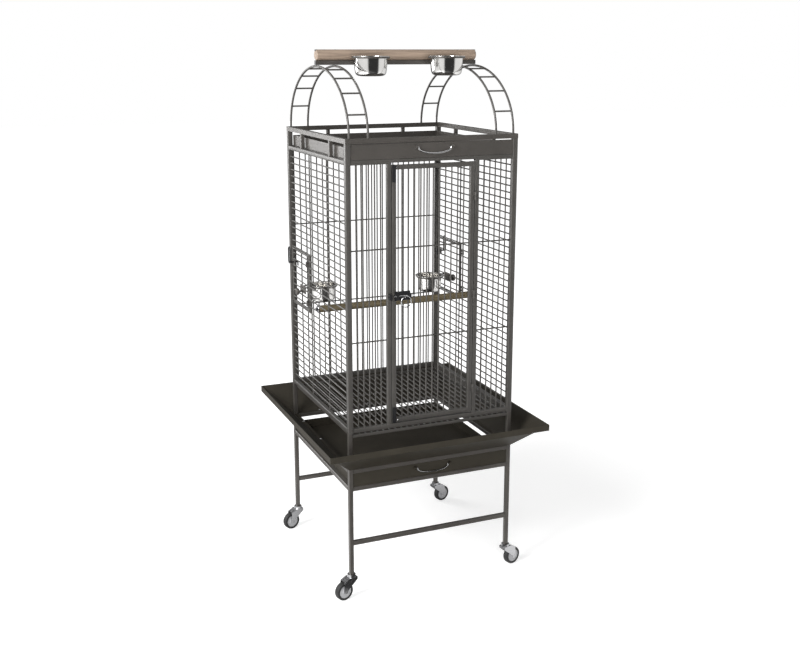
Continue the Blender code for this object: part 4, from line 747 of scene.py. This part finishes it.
for label, hand in (("left", -1), ("right", 1)):
    body, latch = f"feeder_door_{label}", f"feeder_latch_{label}"
    build(f"feeder_door_wire_{label}", place(feeder_door(hand), label), wire_coat, body, [body])
    build(f"feeder_latch_piece_{label}", place(feeder_latch(hand), label), black_plastic, latch,
          [latch])
    build(f"feeder_holder_ring_{label}", place(feeder_holder(hand), label), frame_coat, body,
          [f"feeder_holder_{label}"])
    shells = [bowl((hand * FEEDER_MIDDLE, FEEDER_INSET, FEEDER_RIM_Z), 0.039, 0.046, 0.053)]
    build(f"feeder_bowl_steel_{label}", place(shells, label), spun_steel, f"feeder_bowl_{label}",
          [f"feeder_bowl_{label}"])

# %% [markdown]
# ## Perches
# The inside perch is a stained dowel held by a bolt and a washer outside the wires on each side. The top perch
# is a thicker dowel lying on a square bar, held down by four carriage bolts, one over each arch rod.

# %% Inside perch
def chamfered(ends, face, radius, chamfer):
    """Profile of a rod or disc between two places on its axis, with a small chamfer at each end."""
    low, high = ends
    return [(0.001, low), (face, low), (radius, low + chamfer), (radius, high - chamfer), (face, high),
            (0.001, high)]


perch_z = side_z(13.5)
end = HALF_WIDTH - 0.0085 - GAP
washer = HALF_WIDTH - 0.0045 + GAP
dowel = chamfered((-end, end), 0.0093, 0.0105, 0.0014)
build("inside_perch_dowel", [turn(dowel, (0, 0, perch_z), "X", 32)], olive_wood, "cage",
      ["inside_perch"])
shells = []
for side in (-1, 1):
    shells.append(turn([(0.001, 0), (0.003, 0), (0.003, 0.006), (0.001, 0.006)],
                       (side * (HALF_WIDTH - 0.0065) - 0.003, 0, perch_z), "X", 16))
    disc_x = sorted((side * washer, side * (washer + 0.002)))
    shells.append(turn(chamfered(disc_x, 0.0105, 0.011, 0.0006), (0, 0, perch_z), "X", 28))
    nut_x = sorted((side * (washer + 0.002), side * (washer + 0.007)))
    shells.append(turn([(0.001, nut_x[0]), (0.0058, nut_x[0]), (0.0058, nut_x[1] - 0.0006), (0.0048, nut_x[1]),
                        (0.001, nut_x[1])], (0, 0, perch_z), "X", 6))
build("inside_perch_nuts", shells, plated, "cage")

# %% [markdown]
# The top dowel ends level with the outer rods of both arches. Small chamfers at its ends are what a saw and
# sandpaper leave.

# %% Top perch
TOP_DOWEL = 0.015
low, high = (np.array(corner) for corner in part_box("top_perch"))
top_z = low[2] + TOP_DOWEL * math.cos(math.pi / 18)
reach = high[0]
dowel = chamfered((-reach, reach), 0.0135, TOP_DOWEL, 0.0016)
build("top_perch_dowel", [turn(dowel, (0, 0, top_z - 0.0002), "X", 48)], taupe_wood, "cage",
      ["top_perch"])

# %% [markdown]
# Four carriage bolts go down through the dowel and the bar, one over each rod of the arches. A real bolt head
# is pulled a little into the soft wood, so each head here is a disc that ends level with the dowel's crown and
# stands clear of the wood only where that curves away. The open ends of the square bar get nylon plugs.

# %% Perch bolts and plugs
OUTER_ROD, INNER_ROD = 0.2446, 0.1906
crown = top_z + 0.01477
head = [(0.0005, crown - 0.004), (0.0056, crown - 0.004), (0.0056, crown - 0.0009), (0.0050, crown - 0.0003),
        (0.0040, crown - 0.0001), (0.0005, crown)]
shells = [turn(head, (x, 0, 0), sides=28) for x in (-OUTER_ROD, -INNER_ROD, INNER_ROD, OUTER_ROD)]
build("top_perch_bolts", shells, frame_coat, "cage")
bar_low, bar_high = (np.array(corner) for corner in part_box("perch_bar"))
shells = []
for x in (bar_low[0], bar_high[0]):
    out = 0.0014 * np.sign(x)
    shells.append(block((x - out * 0.2, bar_low[1] + 0.0002, bar_low[2] + 0.0002),
                        (x + out, bar_high[1] - 0.0002, bar_high[2] - 0.0002), 0.0012))
build("perch_bar_plugs", shells, black_plastic, "cage")

# %% [markdown]
# ## Ladder arches
# Each arch is two bent rods joined by rungs, a climbing frame for the bird. A rod follows half an ellipse from
# the front of the gallery to its back: cosine of an angle times half the depth, and sine times the rise.

# %% Arches
FOOT = GALLERY + GAP
ROD_RADIUS = 0.0032
ARCH_REACH, ARCH_RISE = HALF_DEPTH - 0.0065, 0.183


def arch_points(angle):
    """Depth and height on the half ellipse, which starts one rod radius above its foot."""
    base = FOOT + ROD_RADIUS
    return np.stack([-ARCH_REACH * np.cos(angle), base + (GALLERY + ARCH_RISE - base) * np.sin(angle)], -1)


def rung_angles(count=4):
    """Angles of rungs at equal lengths along half the arch, found from the summed length of a fine polyline.

    All of them are set 9 mm towards the foot, which makes the first step the shortest.
    """
    samples = np.linspace(0, np.pi / 2, 2001)
    length = np.concatenate([[0], np.cumsum(np.linalg.norm(np.diff(arch_points(samples), axis=0), axis=1))])
    half = np.interp(length[-1] * np.arange(1, count + 1) / (count + 1) - 0.009, length, samples)
    return np.concatenate([half, np.pi - half])


def arch(side):
    """Two bent rods with upright feet, and the rungs between them."""
    shells = []
    curve = arch_points(np.linspace(0, np.pi, 73))
    for x in (OUTER_ROD, INNER_ROD):
        path = np.column_stack([np.full(len(curve), side * x), curve])
        feet = path[[0, -1]].copy()
        feet[:, 2] = FOOT
        path = np.concatenate([feet[:1], path, feet[1:]])
        shells.append(carry(disc(ROD_RADIUS, 14), path, (1, 0, 0)))
    middle = arch_points(rung_angles())
    start = np.column_stack([np.full(len(middle), side * OUTER_ROD), middle])
    end = np.column_stack([np.full(len(middle), side * INNER_ROD), middle])
    shells.append(wires(start, end, 0.0024))
    return shells


for label, side in (("left", -1), ("right", 1)):
    build(f"ladder_arch_rods_{label}", arch(side), wire_coat, "cage", [f"ladder_arch_{label}"])

# %% [markdown]
# Two bowls hang in rings in front of the perch bar. The height of a ring's arms follows 3t^2 - 2t^3, which is
# level at both ends, as a wire is that was bent over a former.

# %% Top bowls
TOP_BOWL_X, TOP_BOWL_Y = 0.116, -0.08735
HALF_BAR = 0.00635
rim_z = bar_high[2] + 0.012
for label, side in (("left", -1), ("right", 1)):
    x = side * TOP_BOWL_X
    ring_z = rim_z - RIM_OVER_RING
    face = -HALF_BAR - GAP
    shells = [block((x - 0.025, face - 0.0025, bar_low[2]), (x + 0.025, face, bar_high[2]), 0.0008),
              ring((x, TOP_BOWL_Y, ring_z), 0.051, 0.0025)]
    t = np.linspace(0, 1, 12)[:, None]
    for arm in (-1, 1):
        first = np.array([x + arm * 0.015, face - 0.0013, (bar_low[2] + bar_high[2]) / 2])
        last = np.array([x + arm * 0.015, TOP_BOWL_Y + 0.0487, ring_z])
        path = first + (last - first) * np.concatenate([t, t, 3 * t ** 2 - 2 * t ** 3], 1)
        shells.append(carry(disc(0.0022, 12), path, (1, 0, 0)))
    build(f"top_holder_ring_{label}", shells, frame_coat, "cage", [f"top_holder_{label}"])
    build(f"top_bowl_steel_{label}", [bowl((x, TOP_BOWL_Y, rim_z), 0.0475, 0.054, 0.0545)], spun_steel,
          f"top_bowl_{label}", [f"top_bowl_{label}"])

# %% [markdown]
# ## Guard screws
# Each sloped guard is held by three self-tapping screws through the flange that lies on the stand's top rail.

# %% Pan-head screws
STAND_TOP = 0.394
seat = STAND_TOP + 0.0018
pan_head = [(0.0005, seat - 0.0004), (0.0036, seat - 0.0004), (0.0036, seat + 0.0007), (0.0029, seat + 0.0016),
            (0.0016, seat + 0.0021), (0.0005, seat + 0.0022)]
shells = []
for along in (-0.17, 0.0, 0.17):
    for sign in (-1, 1):
        shells.append(turn(pan_head, (along, sign * (HALF_DEPTH - 0.006), 0), sides=20))
        shells.append(turn(pan_head, (sign * (HALF_WIDTH - 0.006), along, 0), sides=20))
build("guard_screws", shells, plated, "cage")

# %% [markdown]
# ## Handles, bolt and casters
# The trays are pulled by drop handles of bright wire. The casters have rubber tyres on pale hubs.

# %% Tray handles
for name in ("waste_tray_bail", "play_tray_bail"):
    low, high = (np.array(corner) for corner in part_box(name))
    y, z = (low[1] + high[1]) / 2, high[2] - 0.002
    angle = np.linspace(0, np.pi, 41)
    reach = 0.0487
    drop = 0.017 * np.maximum(np.sin(angle), 0) ** 0.8
    curve = np.stack([-reach * np.cos(angle), np.full(41, y), z - drop], -1)
    pins = np.array([[-0.0567, y, z], [-0.0505, y, z]])
    path = np.concatenate([pins, curve, -pins[::-1] * [1, -1, -1]])
    build(f"{name}_wire", [carry(disc(0.0019, 16), path, (0, 1, 0))], chrome, name, [name])

# %% [markdown]
# The bolt is a bright rod that slides in a black plate and is drawn back by a ring. Rod, stem and ring move as
# one body, so they are one piece here.

# %% Door bolt
RING_RADIUS = 0.015
nose = -DOOR_EDGE + 0.003
tail = nose + 0.0615
depth = RAIL_DEPTH[0] - GAP - 0.0105 / 2 - 0.0008
pull_x, pull_y = nose + 0.033, 0.0008 - 0.0016 - 0.0105 - 0.0015 - GAP
shells = [turn([(0.001, nose), (0.0019, nose), (0.0026, nose + 0.001), (0.0026, nose + 0.0605), (0.0019, tail),
                (0.001, tail)], (0, depth, BOLT_Z), "X", 24),
          turn([(0.0008, pull_y), (0.0018, pull_y), (0.0018, depth)], (pull_x, 0, BOLT_Z), "Y", 16)]
angle = np.linspace(0, 2 * np.pi, 48, endpoint=False)
path = np.stack([pull_x + RING_RADIUS * np.sin(angle), np.full(48, pull_y),
                 BOLT_Z - RING_RADIUS - RING_RADIUS * np.cos(angle)], -1)
shells.append(carry(disc(0.0015, 12), path, (0, 1, 0), closed=True))
build("door_bolt_chrome", place(shells, "front"), chrome, "door_bolt", ["door_bolt"])

# %% [markdown]
# A caster's wheel is three turned shapes about one axle: a tyre with rounded shoulders, a dished hub and a
# pin. All are made about X at the origin, then stood at the heading that their fork has at rest.

# %% Caster wheels
AXLE_UP = 0.0275 * math.cos(math.pi / 16)
CASTER_TURN = math.radians(15)
CASTER_TRAIL = 0.027
HALF_LEG = 0.00635


def wheel_parts(label):
    """Tyre, hub and axle turned about X, then stood at the caster's own heading."""
    sx = -1 if "left" in label else 1
    sy = -1 if "front" in label else 1
    heading = CASTER_TURN + (math.pi if sx < 0 else 0)
    forward = np.array([math.cos(heading), math.sin(heading), 0])
    across = np.array([-math.sin(heading), math.cos(heading), 0])
    pivot = np.array([sx * (HALF_WIDTH - HALF_LEG), sy * (HALF_DEPTH - HALF_LEG), AXLE_UP])
    centre = pivot + forward * CASTER_TRAIL
    turned = np.stack([across, forward * -1, [0, 0, 1.0]])

    def stand(shell):
        """Turns a shell about the upright axis and moves it to the wheel's place."""
        points, faces, run = shell
        return points @ turned + centre, faces, run

    tyre = [(0.0195, -0.0085), (0.0245, -0.009), (0.0262, -0.0078), (AXLE_UP, -0.0054), (AXLE_UP, 0.0054),
            (0.0262, 0.0078), (0.0245, 0.009), (0.0195, 0.0085), (0.0192, 0.004), (0.0192, -0.004)]
    hub = [(0.003, -0.0102), (0.0095, -0.0102), (0.0105, -0.0072), (0.0150, -0.0062), (0.0192, -0.0070),
           (0.0200, -0.0082), (0.0200, 0.0082), (0.0192, 0.0070), (0.0150, 0.0062), (0.0105, 0.0072),
           (0.0095, 0.0102), (0.003, 0.0102)]
    axle = [(0.001, -0.0125), (0.0024, -0.0125), (0.0029, -0.0121), (0.0029, 0.0121), (0.0024, 0.0125),
            (0.001, 0.0125)]
    origin = (0, 0, 0)
    return (stand(turn(tyre, origin, "X", 56, closed=True)), stand(turn(hub, origin, "X", 48)),
            stand(turn(axle, origin, "X", 20)))


for label in ("front_left", "front_right", "rear_left", "rear_right"):
    tyre, hub, axle = wheel_parts(label)
    body = f"caster_wheel_{label}"
    build(f"caster_tyre_{label}", [tyre], rubber, body, [body])
    build(f"caster_hub_{label}", [hub], hub_plastic, body)
    build(f"caster_axle_{label}", [axle], plated, body)

# %% [markdown]
# ## Light and floor
# A plain pale floor and a white surround. In a studio the room behind the camera is dark and the backdrop
# stands in half shade, and polished bowls show both: a dark upright band between two white ones, and grey
# edges. A direction or a place is laid flat, made one long and compared with the way to the camera's side, and
# a ramp over the result says how bright the room is there. Only mirrored light sees that ramp.

# %% Helpers for the surround and the floor
CAMERA_SIDE = (-0.035, -0.999, 0)
ROOM_LEVELS = ((0.0, 0.12), (0.36, 1.0), (0.87, 1.0), (0.92, 0.04))


def room_seen_in_metal(tree, place):
    """Brightness of the room in a direction: the dot product with the way to the camera's side, on a ramp."""
    steps = (("MULTIPLY", (1, 1, 0)), ("NORMALIZE", None), ("DOT_PRODUCT", CAMERA_SIDE))
    for operation, constant in steps:
        node = tree.nodes.new("ShaderNodeVectorMath")
        node.operation = operation
        tree.links.new(place, node.inputs[0])
        if constant is not None:
            node.inputs[1].default_value = constant
        place = node.outputs[0]
    share = remap(tree, node.outputs["Value"], (-1.0, 1.0), (0.0, 1.0))
    ramp = tree.nodes.new("ShaderNodeValToRGB")
    elements = ramp.color_ramp.elements
    elements.new(0.36)
    elements.new(0.87)
    for element, (position, level) in zip(elements, ROOM_LEVELS):
        element.position = position
        element.color = (level, level, level, 1)
    tree.links.new(share, ramp.inputs["Fac"])
    return remap(tree, ramp.outputs["Color"], (0.0, 1.0), (0.0, 1.0))


def remap(tree, source, limits, values):
    """Moves a value from one pair of limits to another, and keeps it between them."""
    node = tree.nodes.new("ShaderNodeMapRange")
    for name, number in zip(("From Min", "From Max", "To Min", "To Max"), (*limits, *values)):
        node.inputs[name].default_value = number
    tree.links.new(source, node.inputs["Value"])
    return node.outputs["Result"]


def mix(tree, share, low, high):
    """Low where the share is 0 and high where it is 1; both may be numbers or sockets."""
    node = tree.nodes.new("ShaderNodeMix")
    tree.links.new(share, node.inputs[0])
    for index, value in ((2, low), (3, high)):
        if isinstance(value, float):
            node.inputs[index].default_value = value
        else:
            tree.links.new(value, node.inputs[index])
    return node.outputs[0]


# %% [markdown]
# The floor is pale and matte. The camera also sees it glow, more with distance, so it runs into the white
# surround without a horizon, while the cage's shadow stays near its wheels.

# %% Floor
bpy.ops.mesh.primitive_plane_add(size=40, location=(0, 0, 0))
floor = bpy.context.object
floor.name = "floor"
floor_material = bpy.data.materials.new("pale floor")
floor_material.use_nodes = True
tree = floor_material.node_tree
shader = tree.nodes["Principled BSDF"]
shader.inputs["Roughness"].default_value = 0.9
shader.inputs["Specular IOR Level"].default_value = 0.0
place_on_floor = tree.nodes.new("ShaderNodeTexCoord").outputs["Object"]
distance = tree.nodes.new("ShaderNodeVectorMath")
distance.operation = "LENGTH"
tree.links.new(place_on_floor, distance.inputs[0])
room = room_seen_in_metal(tree, place_on_floor)
light_path = tree.nodes.new("ShaderNodeLightPath")
pale = mix(tree, light_path.outputs["Is Glossy Ray"], 0.72, remap(tree, room, (0.0, 1.0), (0.0, 0.72)))
tree.links.new(pale, shader.inputs["Base Color"])
seen = remap(tree, distance.outputs["Value"], (0.8, 2.6), (0.55, 0.95))
mirrored = remap(tree, room, (0.0, 1.0), (0.0, 0.62))
glow = tree.nodes.new("ShaderNodeEmission")
unseen = mix(tree, light_path.outputs["Is Glossy Ray"], 0.0, mirrored)
tree.links.new(mix(tree, light_path.outputs["Is Camera Ray"], unseen, seen), glow.inputs["Strength"])
add = tree.nodes.new("ShaderNodeAddShader")
tree.links.new(shader.outputs["BSDF"], add.inputs[0])
tree.links.new(glow.outputs["Emission"], add.inputs[1])
tree.links.new(add.outputs["Shader"], tree.nodes["Material Output"].inputs["Surface"])
floor.data.materials.append(floor_material)

# %% [markdown]
# The surround adds a soft light from everywhere. It is kept low, since in the photograph trays and guards are
# nearly black where they face up. The camera sees it white.

# %% Surround
world = bpy.data.worlds.new("surround")
bpy.context.scene.world = world
world.use_nodes = True
tree = world.node_tree
background = tree.nodes["Background"]
background.inputs["Color"].default_value = (1, 1, 1, 1)
room = room_seen_in_metal(tree, tree.nodes.new("ShaderNodeTexCoord").outputs["Generated"])
light_path = tree.nodes.new("ShaderNodeLightPath")
strength = mix(tree, light_path.outputs["Is Glossy Ray"], 0.25, room)
for ray in ("Is Transmission Ray", "Is Camera Ray"):
    strength = mix(tree, light_path.outputs[ray], strength, 1.0)
tree.links.new(strength, background.inputs["Strength"])


# %% [markdown]
# The key lamp stands high on the left and brightens the left faces of posts and rails. The skim lamp stands
# behind on the left, and the top lamp is weak. The fill lamp stands in front, and metal doesn't mirror it,
# because it would cover the dark band in the bowls.

# %% Lamps
def lamp(name, location, target, size, power):
    """A square area lamp aimed at a target."""
    data = bpy.data.lights.new(name, "AREA")
    data.size = size
    data.energy = power
    obj = bpy.data.objects.new(name, data)
    bpy.context.scene.collection.objects.link(obj)
    obj.location = location
    direction = np.array(target, float) - np.array(location, float)
    flat = math.hypot(direction[0], direction[1])
    heading = math.atan2(direction[1], direction[0]) - math.pi / 2
    obj.rotation_euler = (math.atan2(flat, -direction[2]), 0, heading)
    return obj


lamp("key lamp", (-3.2, -1.3, 2.6), (0, 0, 1.2), 1.6, 172)
lamp("skim lamp", (-2.2, 2.8, 1.6), (0, 0, 1.1), 1.8, 60)
lamp("fill lamp", (-0.9, -3.2, 1.0), (0, 0, 0.8), 1.8, 78).visible_glossy = False
lamp("top lamp", (0.2, 0.3, 3.6), (0, 0, 1.2), 1.6, 6)

bpy.context.scene.view_settings.view_transform = "Standard"
